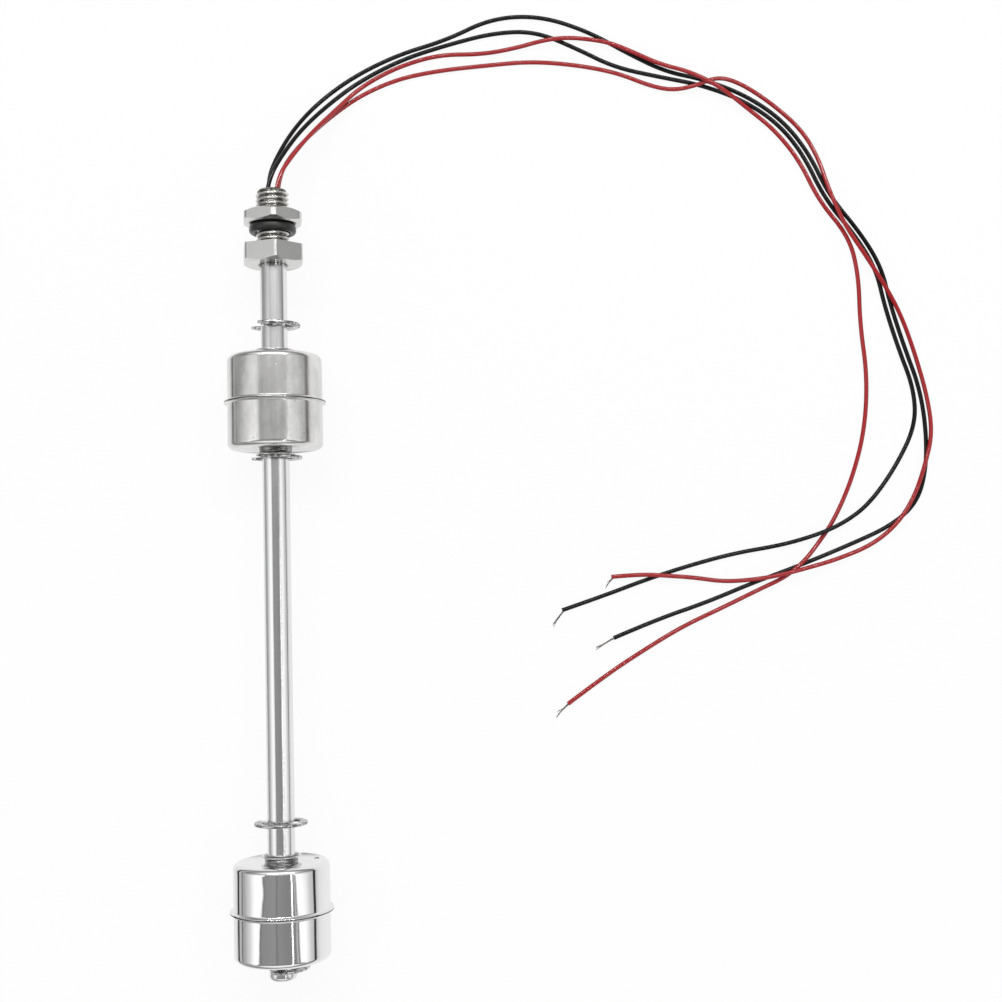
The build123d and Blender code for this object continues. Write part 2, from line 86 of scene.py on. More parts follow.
BLACK_OUTER = [
    (0.0008, 0.1275, 0.0113), (0.0055, 0.1378, 0.0066), (0.0128, 0.1475, 0.0024),
    (0.0238, 0.1561, ON_TABLE), (0.0378, 0.1627, ON_TABLE), (0.0528, 0.1669, ON_TABLE),
    (0.0668, 0.1735, ON_TABLE), (0.0818, 0.1741, ON_TABLE), (0.0968, 0.1689, ON_TABLE),
    (0.1098, 0.1611, ON_TABLE), (0.1213, 0.1551, ON_TABLE), (0.1328, 0.1525, ON_TABLE),
    (0.1458, 0.1471, ON_TABLE), (0.1568, 0.1391, ON_TABLE), (0.1648, 0.1284, ON_TABLE),
    (0.1706, 0.1147, ON_TABLE), (0.1800, 0.1025, ON_TABLE), (0.1860, 0.0916, ON_TABLE),
    (0.1882, 0.0801, ON_TABLE), (0.1919, 0.0669, ON_TABLE), (0.1961, 0.0541, ON_TABLE),
    (0.1976, 0.0411, ON_TABLE), (0.1971, 0.0286, ON_TABLE), (0.1938, 0.0184, ON_TABLE),
    (0.1854, 0.0115, ON_TABLE), (0.1718, 0.0058, ON_TABLE), (0.1578, 0.0004, ON_TABLE),
    (0.1428, -0.0047, ON_TABLE), (0.1280, -0.0105, ON_TABLE), (0.1133, -0.0151, ON_TABLE),
    (0.0998, -0.0205, ON_TABLE)]
BLACK_INNER = [
    (0.0030, 0.1273, 0.0142), (0.0082, 0.1367, 0.0092), (0.0156, 0.1457, 0.0042),
    (0.0252, 0.1543, ON_TABLE), (0.0388, 0.1611, ON_TABLE), (0.0538, 0.1656, ON_TABLE),
    (0.0678, 0.1689, ON_TABLE), (0.0808, 0.1691, ON_TABLE), (0.0938, 0.1631, ON_TABLE),
    (0.1053, 0.1569, ON_TABLE), (0.1203, 0.1533, ON_TABLE), (0.1321, 0.1507, ON_TABLE),
    (0.1450, 0.1455, ON_TABLE), (0.1556, 0.1379, ON_TABLE), (0.1632, 0.1277, ON_TABLE),
    (0.1692, 0.1137, ON_TABLE), (0.1784, 0.1017, ON_TABLE), (0.1843, 0.0911, ON_TABLE),
    (0.1864, 0.0797, ON_TABLE), (0.1901, 0.0664, ON_TABLE), (0.1944, 0.0536, ON_TABLE),
    (0.1944, 0.0421, ON_TABLE), (0.1874, 0.0291, ON_TABLE), (0.1788, 0.0181, 0.0011),
    (0.1703, 0.0125, ON_ONE), (0.1623, 0.0093, ON_ONE), (0.1518, 0.0065, ON_TABLE),
    (0.1378, 0.0045, ON_TABLE), (0.1238, 0.0011, ON_TABLE), (0.1098, -0.0031, ON_TABLE),
    (0.0968, -0.0077, ON_TABLE), (0.0843, -0.0117, ON_TABLE)]
RED_INNER = [
    (0.0060, 0.1271, 0.0140), (0.0114, 0.1357, 0.0092), (0.0188, 0.1447, 0.0044), (0.0262, 0.1527, 0.0012),
    (0.0373, 0.1587, ON_TABLE), (0.0503, 0.1624, ON_TABLE), (0.0638, 0.1621, ON_TABLE),
    (0.0748, 0.1637, 0.0013), (0.0828, 0.1655, ON_ONE), (0.0903, 0.1663, ON_ONE), (0.0983, 0.1657, 0.0016),
    (0.1043, 0.1641, ON_ONE), (0.1110, 0.1611, ON_ONE), (0.1193, 0.1570, ON_ONE), (0.1283, 0.1539, ON_TWO),
    (0.1373, 0.1491, ON_TWO), (0.1464, 0.1425, 0.0013), (0.1544, 0.1359, ON_TABLE),
    (0.1618, 0.1261, ON_TABLE), (0.1674, 0.1131, ON_TABLE), (0.1764, 0.1015, ON_TABLE),
    (0.1788, 0.0891, ON_TABLE), (0.1786, 0.0741, ON_TABLE), (0.1802, 0.0581, ON_TABLE),
    (0.1788, 0.0416, ON_TABLE), (0.1744, 0.0266, ON_TABLE), (0.1682, 0.0136, ON_TABLE),
    (0.1624, 0.0059, ON_TABLE), (0.1582, 0.0013, ON_ONE), (0.1524, -0.0033, ON_ONE),
    (0.1448, -0.0067, ON_TABLE), (0.1338, -0.0118, ON_TABLE), (0.1208, -0.0175, ON_TABLE),
    (0.1093, -0.0241, ON_TABLE), (0.0970, -0.0317, ON_TABLE), (0.0853, -0.0401, ON_TABLE)]
RED_OUTER = [
    (0.0046, 0.1275, 0.0112), (0.0110, 0.1364, 0.0064), (0.0182, 0.1441, 0.0024),
    (0.0262, 0.1502, ON_TABLE), (0.0377, 0.1550, ON_TABLE), (0.0506, 0.1573, ON_TABLE),
    (0.0648, 0.1585, ON_TABLE), (0.0788, 0.1595, ON_TABLE), (0.0928, 0.1581, ON_TABLE),
    (0.1058, 0.1553, ON_TABLE), (0.1168, 0.1505, ON_TABLE), (0.1238, 0.1491, 0.0010),
    (0.1306, 0.1501, ON_ONE), (0.1372, 0.1527, ON_ONE), (0.1448, 0.1507, 0.0009),
    (0.1548, 0.1435, ON_TABLE), (0.1632, 0.1353, ON_TABLE), (0.1678, 0.1261, 0.0010),
    (0.1701, 0.1166, ON_ONE), (0.1746, 0.1051, ON_ONE), (0.1803, 0.0961, ON_ONE), (0.1873, 0.0841, ON_ONE),
    (0.1916, 0.0751, 0.0017), (0.1954, 0.0636, ON_TABLE), (0.1984, 0.0511, ON_TABLE),
    (0.1992, 0.0397, 0.0017), (0.1964, 0.0301, ON_ONE), (0.1928, 0.0205, ON_ONE), (0.1872, 0.0121, ON_ONE),
    (0.1794, 0.0059, 0.0013), (0.1688, 0.0019, 0.0019), (0.1588, -0.0007, ON_TWO),
    (0.1503, -0.0027, ON_TWO), (0.1428, -0.0038, 0.0019), (0.1338, -0.0042, ON_TABLE),
    (0.1248, -0.0027, 0.0011), (0.1168, -0.0020, ON_ONE), (0.1084, -0.0013, ON_ONE),
    (0.0996, -0.0019, 0.0009)]

# Each wire: its corner of the square that the wires come up in, its lean, its length and its route
WIRES = {
    "black_outer": (-1, -1, 0.0, 0.429, BLACK_OUTER),
    "black_inner": (-1, 1, 0.0010, 0.425, BLACK_INNER),
    "red_inner": (1, 1, 0.0007, 0.419, RED_INNER),
    "red_outer": (1, -1, 0.0004, 0.4175, RED_OUTER)}

# The fitting, the nut and their hexagons; the cuts are shares of a chamfer's depth, and they keep its slope even
SEALING_FACE = 0.0992
THREAD_RADIUS = 0.004925
THREAD_END_CHAMFER = 0.0009
THREAD_END_CUTS = (0.2, 0.4, 0.6, 0.8, 1.0)
THREAD_STEPS = 144
THREAD_ROUND = 0.00005
ROOT_SHARE = 0.25
CREST_SHARE = 0.125
BORE_RADIUS = 0.003
SOCKET_RADIUS = 0.00402
SOCKET_DEPTH = 0.0045
HEX_ACROSS_FLATS = 0.017
HEX_TURN = math.radians(13.0)
HEX_FACE_RADIUS = 0.00814
HEX_CORNER_RADIUS = 0.00961
NUT_TURN = math.radians(11.0)
NUT_FACE_RADIUS = 0.00789
NUT_CORNER_RADIUS = 0.00945
CORNER_SLOPE = math.tan(math.radians(30.0))
NUT_BORE_CHAMFER = 0.0005
NUT_BORE_CUTS = (0.25, 0.5, 0.75, 1.0)
HEX_EDGE_SEGMENTS = 3
HEX_SMOOTH_ANGLE = 20.0
SEAL_WIDTH = 0.002
SEAL_ROUNDING = 0.00095
SEAL_STEPS = 160

# The stem, its grooves and the clips in them
CLIPS = ("lower_rest_clip", "lower_stop_clip", "upper_rest_clip", "upper_stop_clip")
STEM_STEPS = 128
STEM_BORE_RADIUS = 0.003
GROOVE_RADIUS = 0.0035
GROOVE_PLAY = 0.00005
GROOVE_ROUND = 0.00006
PLUG_PLAY = 0.00002
PLUG_ROUNDING = 0.0013

# The floats: cups, their rims and the sleeve
FLOAT_STEPS = 192
FLOAT_RADIUS = 0.014
FLOAT_CORNER = 0.0018
FLOAT_WALL = 0.0004
CUP_HOLE_RADIUS = 0.00482
BEAD_RADIUS = 0.015
BEAD_RIM = 0.0004
RIM_FILLET = 0.0005
RIM_ROUND = 0.00022
SEAM_ROUND = 0.00008
SLEEVE_RADIUS = 0.0045
SLEEVE_WALL = 0.0003
LIP_RADIUS = 0.0058
LIP_BEND_SHARE = 0.98
LIP_ROUND_SHARE = 0.35
VENT_WELD_RADIUS = 0.00075
VENT_WELD_FLATNESS = 0.33
VENT_WELD_X = 0.00991
VENT_WELD_Z = -0.0027
VENT_WELD_HEIGHT = 0.014

# Heights of the line where each float's cups meet, and of its top
FLOAT_SEAMS = tuple(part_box(cup)[1].y for cup in ("upper_float_bottom_cup", "lower_float_bottom_cup"))
FLOAT_TOPS = tuple(seam + VENT_WELD_HEIGHT for seam in FLOAT_SEAMS)
SEAM_LINE_WIDTH = 0.00022

# Resin: how far it crept up each wire, and the rim that stays level
RESIN_CREEP = 0.0004
RESIN_CREEP_WIDTH = 0.0005
RESIN_RIM = 0.00001
RESIN_RINGS = 16
RESIN_STEPS = 72

# Bare strands: how much of the wire's thickness they fill, how far they splay, how much they twist, how their lengths
# differ, how far they start inside the insulation, and how they close up and sink to the table towards their tips
STRAND_BUNDLE_SHARE = 0.36
STRAND_SPLAY = 0.0006
STRAND_TWIST = 3.4
STRAND_STEPS = 5
STRAND_REACH = (0.75, 1.12)
STRAND_TUCK = 0.0008
STRAND_CLOSING = 0.35
STRAND_SINKING = 0.6

# Light: what the metal shows of the tent, by the angle in degrees from straight up towards the wires, near the stem's
# end and near the thread, then how bright the tent is along the object and at its ends by height
TENT_BRIGHTEST = 1.3
TENT_BY_STEM = (
    (-180, 0.70), (-100, 0.30), (-94, 0.36), (-75, 0.75), (-66, 0.95), (-55, 1.22), (-33, 1.25), (-31.6, 1.20),
    (-30.6, 0.12), (-28.6, 0.14), (-27, 0.30), (-4, 0.33), (-1, 0.22), (2, 0.31), (18, 0.27), (32, 0.25), (33, 0.80),
    (34.5, 0.80), (35, 0.12), (36.5, 0.12), (38, 1.25), (51, 1.22), (62, 1.02), (75, 0.72), (87.5, 0.62),
    (88.5, 0.04), (92, 0.04), (94, 0.60), (180, 0.70))
TENT_BY_THREAD = (
    (-180, 0.40), (-100, 0.30), (-85, 0.42), (-62, 0.65), (-42, 0.92), (-27, 0.88), (-22.5, 0.70), (-17.5, 0.90),
    (-2, 1.0), (26, 1.05), (34, 0.82), (50, 0.80), (79, 0.52), (87.5, 0.50), (88.5, 0.04), (92, 0.04), (94, 0.50),
    (180, 0.50))
TENT_ALONG = ((-1.0, 1.0), (0.165, 1.0), (0.19, 0.55), (0.215, 0.55), (0.228, 0.82), (1.0, 0.82))
TENT_END_BY_HEIGHT = ((-1.0, 0.55), (-0.05, 0.50), (0.03, 0.16), (0.12, 0.30), (0.40, 0.55), (0.55, 1.10), (1.0, 1.2))

# Where the tent changes from the stem's light to the thread's and to that of its ends, and the dark line in each end
STEM_TO_THREAD = (0.115, 0.16)
TENT_END_REACH = (0.45, 0.60)
TENT_END_LINE = 0.43
END_LINE_WIDTH = (0.015, 0.05)
END_LINE_LIGHT = 0.1

# The gap overhead, which widens towards the stem's end, and the soft unevenness of the tent's cloth
GAP_CENTRE = 7.0
GAP_REACH = (50.0, 80.0)
GAP_WIDENS_FROM = -0.17
GAP_WIDENING = 5.9
SWAY_SCALE = 9.0
SWAY_DEGREES = 6.0
SWAY_AT_THREAD = 0.05
SWAY_ALONG = 0.02

# The table: how much of it glows, what the metal shows of it by the distance in metres from the stem towards the
# wires, and how dark it is in mirror rays that start close to it
TABLE_HALF = 1.6
TABLE_GRAIN = 30.0
TABLE_GRAIN_SHADE = 0.99
FLOOR_GLOW_SHARE = 0.92
FLOOR_MIRRORED_SHARE = 0.75
TABLE_SEEN = (
    (-0.40, 0.50), (-0.20, 0.40), (-0.19, 0.10), (-0.15, 0.10), (-0.145, 0.50), (-0.08, 0.60), (-0.073, 0.03),
    (-0.057, 0.03), (-0.054, 0.65), (-0.04, 0.90), (-0.02, 1.0), (0.03, 1.0), (0.08, 0.92), (0.217, 0.62),
    (0.28, 0.58), (0.30, 0.04), (0.80, 0.04))
SHADE_BESIDE = 0.012
SHADE_LEAST = 0.08
WHITE = (1.0, 1.0, 1.0, 1.0)
BLACK = (0.0, 0.0, 0.0, 1.0)

# The lamps: a narrow strip along the stem's end and a bar across the wires, each turned by its angle from straight up
LAMP_DISTANCE = 0.9
STRIP_LAMP_POWER = 0.35
STRIP_LAMP_ANGLE = math.radians(31.0)
STRIP_LAMP_WIDTH = 0.025
STRIP_LAMP_LENGTH = 0.75
STRIP_LAMP_MIDDLE = -0.33
BAR_LAMP_POWER = 3.6
BAR_LAMP_ANGLE = math.radians(33.0)
BAR_LAMP_WIDTH = 0.03
BAR_LAMP_LENGTH = 1.0
BAR_LAMP_MIDDLE = 0.10

# The camera's sensor in millimetres, and the nearest and farthest that it sees
SENSOR_WIDTH = 36.0
CAMERA_REACH = (0.01, 10.0)

# Finishes: roughness of every pattern, then where the stained, burnt and painted-shade places are, in metres, and their
# colours
NOISE_ROUGHNESS = 0.55
# The next radii: where the thread's brown coat and painted shade fade out
ROOT_FILM_AND_SHADE_RADII = (0.0041, 0.0048)
NECK_RADII = (0.00495, 0.0052)
WELD_BURN_REACH = (0.0003, 0.0016)
VENT_WELD_REACH = (0.0006, 0.0009)
# The next colour: a thin brown coat with painted shade, for the thread's roots
ROOT_FILM_AND_SHADE = (0.07, 0.06, 0.045)
WELD_BURN = (0.07, 0.065, 0.06)
SEAM_DARK = (0.03, 0.03, 0.032)
CLIP_STAIN = (0.09, 0.088, 0.085)
# The next colour: painted shade on the sleeve's tube under each lip
NECK_PAINTED_SHADE = (0.05, 0.048, 0.045)
RUBBER_BLOOM = (0.05, 0.046, 0.040)
COPPER_BELOW = (0.36, 0.20, 0.12)
RESIN_COLOURS = ((0.012, 0.012, 0.013), (0.03, 0.029, 0.028))
FERRITE_COLOURS = ((0.055, 0.055, 0.06), (0.10, 0.10, 0.105))
SPACER_COLOURS = ((0.80, 0.79, 0.75), (0.72, 0.71, 0.67))
TUBING_COLOURS = ((0.03, 0.03, 0.032), (0.05, 0.05, 0.05))
BLADE_COLOURS = ((0.60, 0.57, 0.52), (0.70, 0.67, 0.61))
GLASS_COLOURS = ((0.72, 0.86, 0.76), (0.80, 0.90, 0.82))


# Settings that a user would change


class SwitchSizes(bpy.types.PropertyGroup):
    """Sizes of what the CAD frame leaves plain."""
    thread_pitch: FloatProperty(
        name="Thread pitch", description="Rise of the thread in one turn",
        default=0.0015, min=0.0005, max=0.003, precision=5, unit="LENGTH")
    thread_depth: FloatProperty(
        name="Thread depth", description="From the thread's crest to its root",
        default=0.00082, min=0.0002, max=0.0015, precision=5, unit="LENGTH")
    thread_play: FloatProperty(
        name="Thread play", description="Gap between the nut's thread and the fitting's",
        default=0.00006, min=0.0, max=0.0003, precision=6, unit="LENGTH")
    edge_round: FloatProperty(
        name="Edge rounding", description="Width of the small bevel on milled and stamped edges",
        default=0.0002, min=0.0, max=0.0005, precision=5, unit="LENGTH")
    strand_diameter: FloatProperty(
        name="Strand diameter", description="Thickness of one bare copper strand",
        default=0.00016, min=0.00005, max=0.0004, precision=6, unit="LENGTH")
    strand_count: IntProperty(
        name="Strands", description="Number of strands in a wire", default=7, min=3, max=19)


class SwitchFinishes(bpy.types.PropertyGroup):
    """Colours of the finishes."""
    satin_steel: FloatVectorProperty(
        name="Satin steel", description="Colour of the fitting, the nut and the upper float",
        default=(0.70, 0.695, 0.685), min=0.0, max=1.0, size=3, subtype="COLOR")
    polished_steel: FloatVectorProperty(
        name="Polished steel", description="Colour of the lower float, the stem and the clips",
        default=(0.80, 0.80, 0.80), min=0.0, max=1.0, size=3, subtype="COLOR")
    seal_black: FloatVectorProperty(
        name="Seal rubber", description="Colour of the seal ring",
        default=(0.010, 0.010, 0.010), min=0.0, max=1.0, size=3, subtype="COLOR")
    wire_black: FloatVectorProperty(
        name="Black insulation", description="Colour of the two black wires",
        default=(0.004, 0.004, 0.0045), min=0.0, max=1.0, size=3, subtype="COLOR")
    wire_red: FloatVectorProperty(
        name="Red insulation", description="Colour of the two red wires",
        default=(0.38, 0.007, 0.011), min=0.0, max=1.0, size=3, subtype="COLOR")
    tinned_copper: FloatVectorProperty(
        name="Tinned copper", description="Colour of the bare strands",
        default=(0.30, 0.28, 0.26), min=0.0, max=1.0, size=3, subtype="COLOR")


class SwitchStage(bpy.types.PropertyGroup):
    """The camera and the light, as in the photograph."""
    camera_place: FloatVectorProperty(
        name="Camera place", description="Where the camera stands",
        default=(0.066478, -0.004282, 0.426355), size=3, precision=5, subtype="TRANSLATION", unit="LENGTH")
    camera_tilt: FloatProperty(
        name="Camera tilt", description="Turn of the view from straight down towards the thread",
        default=math.radians(3.55), subtype="ANGLE")
    camera_roll: FloatProperty(
        name="Camera roll", description="Turn of the picture about the line of sight",
        default=math.radians(1.386), subtype="ANGLE")
    camera_lens: FloatProperty(
        name="Lens", description="Focal length on a sensor 36 mm wide, in millimetres", default=50.0, min=10.0)
    floor_white: FloatProperty(
        name="Floor white", description="How white the table is", default=0.92, min=0.0, max=1.0, subtype="FACTOR")


# Material nodes: a small class for numbers, and one method that adds any other node


class Number:
    """A number in a material, on which + - * / and ** add Math nodes."""

    def __init__(self, shader, socket):
        self.shader = shader
        self.socket = socket

    def maths(self, operation, *terms):
        return self.shader.number("ShaderNodeMath", {"operation": operation}, dict(enumerate(terms)))

    def __add__(self, other):
        return self.maths("ADD", self, other)

    def __radd__(self, other):
        return self.maths("ADD", other, self)

    def __sub__(self, other):
        return self.maths("SUBTRACT", self, other)

    def __rsub__(self, other):
        return self.maths("SUBTRACT", other, self)

    def __mul__(self, other):
        return self.maths("MULTIPLY", self, other)

    def __rmul__(self, other):
        return self.maths("MULTIPLY", other, self)

    def __truediv__(self, other):
        return self.maths("DIVIDE", self, other)

    def __rtruediv__(self, other):
        return self.maths("DIVIDE", other, self)

    def __pow__(self, other):
        return self.maths("POWER", self, other)

    def size(self):
        """The number without its sign."""
        return self.maths("ABSOLUTE", self)

    def ramp(self, low, high):
        """0 below low, 1 above high and a soft rise between them."""
        inputs = {"Value": self, "From Min": low, "From Max": high}
        return self.shader.number("ShaderNodeMapRange", {"interpolation_type": "SMOOTHSTEP"}, inputs)

    def either(self, other):
        """The larger of the two."""
        return self.maths("MAXIMUM", self, other)

    def least(self, other):
        """The smaller of the two."""
        return self.maths("MINIMUM", self, other)

    def to_nearest(self, marks):
        """How far the number is from the nearer of two marks."""
        return (self - marks[0]).size().least((self - marks[1]).size())


class Shader:
    """The node tree of a material or of the world."""

    def __init__(self, owner):
        owner.use_nodes = True
        self.tree = owner.node_tree
        self.tree.nodes.clear()

    def node(self, kind, settings=None, inputs=None):
        """Adds a node: its settings first, then the values or links of its inputs."""
        node = self.tree.nodes.new(kind)
        for key, value in (settings or {}).items():
            if key == "stops":
                for stop, (place, colour) in zip(ramp_stops(node.color_ramp, len(value)), value):
                    stop.position = place
                    stop.color = (*colour, 1.0)
            else:
                setattr(node, key, value)
        for key, value in (inputs or {}).items():
            if isinstance(value, Number):
                value = value.socket
            if isinstance(value, bpy.types.NodeSocket):
                self.tree.links.new(value, node.inputs[key])
            else:
                node.inputs[key].default_value = value
        return node

    def number(self, kind, settings, inputs):
        """A node's first output as a number."""
        return Number(self, self.node(kind, settings, inputs).outputs[0])

    def parts(self, vector):
        """The x, y and z of a vector as numbers."""
        node = self.node("ShaderNodeSeparateXYZ", None, {0: vector})
        return [Number(self, socket) for socket in node.outputs]

    def place(self, scale=(1.0, 1.0, 1.0)):
        """Object coordinates, scaled for a pattern."""
        inputs = {"Vector": self.node("ShaderNodeTexCoord").outputs["Object"], "Scale": scale}
        return self.node("ShaderNodeMapping", {"vector_type": "POINT"}, inputs).outputs[0]

    def noise_on(self, vector, scale, detail):
        """A soft random pattern on a vector, finer with a higher scale."""
        inputs = {"Vector": vector, "Scale": scale, "Detail": detail, "Roughness": NOISE_ROUGHNESS}
        return self.number("ShaderNodeTexNoise", {"noise_dimensions": "3D"}, inputs)

    def noise(self, scale, detail=3.0, stretch=(1.0, 1.0, 1.0)):
        """A soft random pattern on the object, drawn out along the axes with a lower stretch."""
        return self.noise_on(self.place(stretch), scale, detail)

    def mix(self, factor, first, second):
        """A colour between two colours, whose sockets are numbers 6 and 7 of the Mix node."""
        return self.node("ShaderNodeMix", {"data_type": "RGBA"}, {0: factor, 6: first, 7: second}).outputs[2]

    def bump(self, height, depth, normal=None):
        """A normal that follows a height, on top of a coarser normal if one is given."""
        inputs = {"Height": height, "Distance": depth, "Strength": 1.0}
        if normal is not None:
            inputs["Normal"] = normal
        return self.node("ShaderNodeBump", None, inputs).outputs[0]


def ramp_stops(ramp, count):
    """The stops of a colour ramp, as many as needed."""
    while len(ramp.elements) < count:
        ramp.elements.new(1.0)
    return ramp.elements


def rgba(colour, shade=1.0):
    return (colour[0] * shade, colour[1] * shade, colour[2] * shade, 1.0)


# Finishes


def shades(shader, factor, colour, low, high):
    """One colour, between two shades of it."""
    return shader.mix(factor, rgba(colour, low), rgba(colour, high))


def between(shader, factor, colours):
    """A colour between the two of a pair."""
    return shader.mix(factor, rgba(colours[0]), rgba(colours[1]))


def fine_marks(shader, across, along):
    """Fine marks: lines along the stem's axis where the scale across it is the higher one, otherwise rings round it."""
    return shader.noise(1.0, 4.0, (across, along, across))


def radius_from_axis(shader):
    """Distance from the stem's axis, in metres."""
    x, _, z = shader.parts(shader.place())
    z = z - AXIS_Z
    return (x * x + z * z) ** 0.5


def surface(shader, base, roughness, normal, more=None):
    """A finish's own shader, with what else sets it apart in more."""
    inputs = {"Base Color": base, "Roughness": roughness, "Normal": normal, **(more or {})}
    return shader.node("ShaderNodeBsdfPrincipled", None, inputs)


def metal(shader, base, roughness, normal):
    return surface(shader, base, roughness, normal, {"Metallic": 1.0})


def milled_steel(shader, finishes):
    """Fitting and nut: faint milling marks, with a thin brown coat and painted shade in the thread's roots."""
    marks = fine_marks(shader, 900.0, 5200.0)
    plain = shades(shader, shader.noise(260.0), finishes.satin_steel, 0.92, 1.06)
    # Painted shade with a thin brown coat: the steel goes dark towards the thread's roots, in patches
    root_film_and_shade = 1.0 - radius_from_axis(shader).ramp(*ROOT_FILM_AND_SHADE_RADII)
    stain = root_film_and_shade * (0.5 + shader.noise(900.0).ramp(0.3, 0.6) * 0.48)
    base = shader.mix(stain, plain, rgba(ROOT_FILM_AND_SHADE))
    roughness = 0.17 + marks * 0.14 + root_film_and_shade * 0.12
    return metal(shader, base, roughness, shader.bump(marks, 0.000004))


def polished_steel(shader, finishes):
    """Stem: bright, with fine marks along the tube and a burnt ring where it is welded to the fitting."""
    marks = fine_marks(shader, 2600.0, 40.0)
    cloud = shader.noise(160.0, stretch=(1.0, 0.35, 1.0))
    plain = shades(shader, cloud, finishes.polished_steel, 0.95, 1.04)
    to_weld = HEX_BACK - shader.parts(shader.place())[1]
    burnt = (1.0 - to_weld.ramp(*WELD_BURN_REACH)) * shader.noise(1300.0, 2.0).ramp(0.40, 0.56)
    base = shader.mix(burnt * 0.85, plain, rgba(WELD_BURN))
    roughness = 0.10 + marks * 0.10 + cloud * 0.05 + burnt * 0.15
    return metal(shader, base, roughness, shader.bump(marks, 0.000002))


def seam_and_vent(shader, base):
    """Darkens a float's steel in the fine line where its two cups meet and at the welded vent in its top."""
    x, y, z = shader.parts(shader.place())
    line = (1.0 - y.to_nearest(FLOAT_SEAMS).ramp(SEAM_LINE_WIDTH * 0.4, SEAM_LINE_WIDTH)) * 0.93
    to_vent = ((x - VENT_WELD_X) ** 2.0 + (z - AXIS_Z - VENT_WELD_Z) ** 2.0) ** 0.5
    weld = 1.0 - to_vent.ramp(VENT_WELD_RADIUS * 0.8, VENT_WELD_RADIUS * 1.25)
    weld = weld * (1.0 - y.to_nearest(FLOAT_TOPS).ramp(*VENT_WELD_REACH))
    return shader.mix(line.either(weld * 0.85), base, rgba(SEAM_DARK))


def satin_float_steel(shader, finishes):
    """Upper float: drawn cups with a dull, streaky sheen and a few small pits."""
    marks = fine_marks(shader, 1500.0, 60.0)
    cloud = shader.noise(190.0, stretch=(1.0, 0.5, 1.0))
    pits = shader.noise(1400.0, 1.0).ramp(0.72, 0.78)
    plain = shades(shader, cloud.ramp(0.3, 0.7), finishes.satin_steel, 0.92, 1.14)
    base = seam_and_vent(shader, shader.mix(pits * 0.6, plain, rgba(finishes.satin_steel, 0.3)))
    roughness = 0.11 + marks * 0.06 + cloud * 0.08
    return metal(shader, base, roughness, shader.bump(marks - pits * 3.0, 0.000004, shader.bump(cloud, 0.00004)))


def mirror_float_steel(shader, finishes):
    """Lower float: polished cups that stay a little uneven, as thin drawn steel does."""
    wave = shader.noise(95.0, 1.5, (1.0, 0.45, 1.0))
    marks = fine_marks(shader, 60.0, 3200.0)
    base = seam_and_vent(shader, shades(shader, wave, finishes.polished_steel, 1.0, 1.08))
    return metal(shader, base, 0.035 + marks * 0.05, shader.bump(marks, 0.0000012, shader.bump(wave, 0.00025)))


def stamped_marks(shader):
    """Short marks round the stem's axis, left on thin stamped and drawn pieces."""
    return shader.noise(700.0, 4.0, (1.0, 2.4, 1.0))


def bright_steel(shader, finishes):
    """Clips: bright spring steel, its stamped faces stained dark in patches."""
    marks = stamped_marks(shader)
    stain = shader.noise(850.0, 2.0).ramp(0.46, 0.58)
    base = shader.mix(stain * 0.8, shades(shader, marks, finishes.polished_steel, 0.66, 0.9), rgba(CLIP_STAIN))
    return metal(shader, base, 0.12 + marks * 0.12 + stain * 0.10, shader.bump(marks, 0.000006))


def sleeve_steel(shader, finishes):
    """Float sleeves: bright lips, with painted shade in uneven rings on the tube just under each lip."""
    marks = stamped_marks(shader)
    rings = fine_marks(shader, 300.0, 4200.0).ramp(0.35, 0.65)
    # Painted shade: the tube under each lip goes dark, in uneven rings
    neck_shade = (1.0 - radius_from_axis(shader).ramp(*NECK_RADII)) * (0.35 + rings * 0.6)
    base = shader.mix(neck_shade, shades(shader, marks, finishes.polished_steel, 0.86, 1.0), rgba(NECK_PAINTED_SHADE))
    return metal(shader, base, 0.12 + marks * 0.12 + neck_shade * 0.15, shader.bump(marks, 0.000006))


def seal_rubber(shader, finishes):
    """Moulded rubber with a dusty bloom."""
    grain = shader.noise(5200.0, 2.0)
    bloom = shader.noise(420.0).ramp(0.45, 0.75)
    base = shader.mix(bloom * 0.3, rgba(finishes.seal_black), rgba(RUBBER_BLOOM))
    return surface(shader, base, 0.26 + bloom * 0.16 + grain * 0.06, shader.bump(grain, 0.000012))


def insulation(shader, colour, shine, coat):
    """Smooth wire insulation with faint scuffs and a soft unevenness."""
    scuffs = shader.noise(650.0).ramp(0.48, 0.8)
    grain = shader.noise(3000.0, 2.0)
    wave = shader.noise(90.0, 1.0)
    worn = tuple(part * 0.9 + 0.008 for part in colour)
    base = shader.mix(scuffs * 0.4, rgba(colour, 0.96), rgba(worn))
    roughness = 0.10 + scuffs * 0.12 + wave * 0.05
    more = {"IOR": 1.5, "Specular IOR Level": shine, "Coat Weight": coat, "Coat Roughness": 0.06}
    return surface(shader, base, roughness, shader.bump(grain + wave * 6.0, 0.000003), more)


def black_insulation(shader, finishes):
    return insulation(shader, finishes.wire_black, shine=0.28, coat=0.0)


def red_insulation(shader, finishes):
    return insulation(shader, finishes.wire_red, shine=0.5, coat=0.3)


def tinned_copper(shader, finishes):
    """Bare strands: tin with the copper showing through here and there."""
    bare = shader.noise(1500.0).ramp(0.52, 0.72)
    base = shader.mix(bare * 0.6, rgba(finishes.tinned_copper), rgba(COPPER_BELOW))
    return metal(shader, base, 0.34 + bare * 0.12, shader.bump(bare, 0.000003))


def cast_resin(shader, finishes):
    """Black resin round the wires, glossy where it crept up and dull where dust lies."""
    swell = shader.noise(700.0, 2.0)
    base = between(shader, swell.ramp(0.4, 0.7), RESIN_COLOURS)
    return surface(shader, base, 0.22 + swell * 0.2, shader.bump(swell, 0.00008))


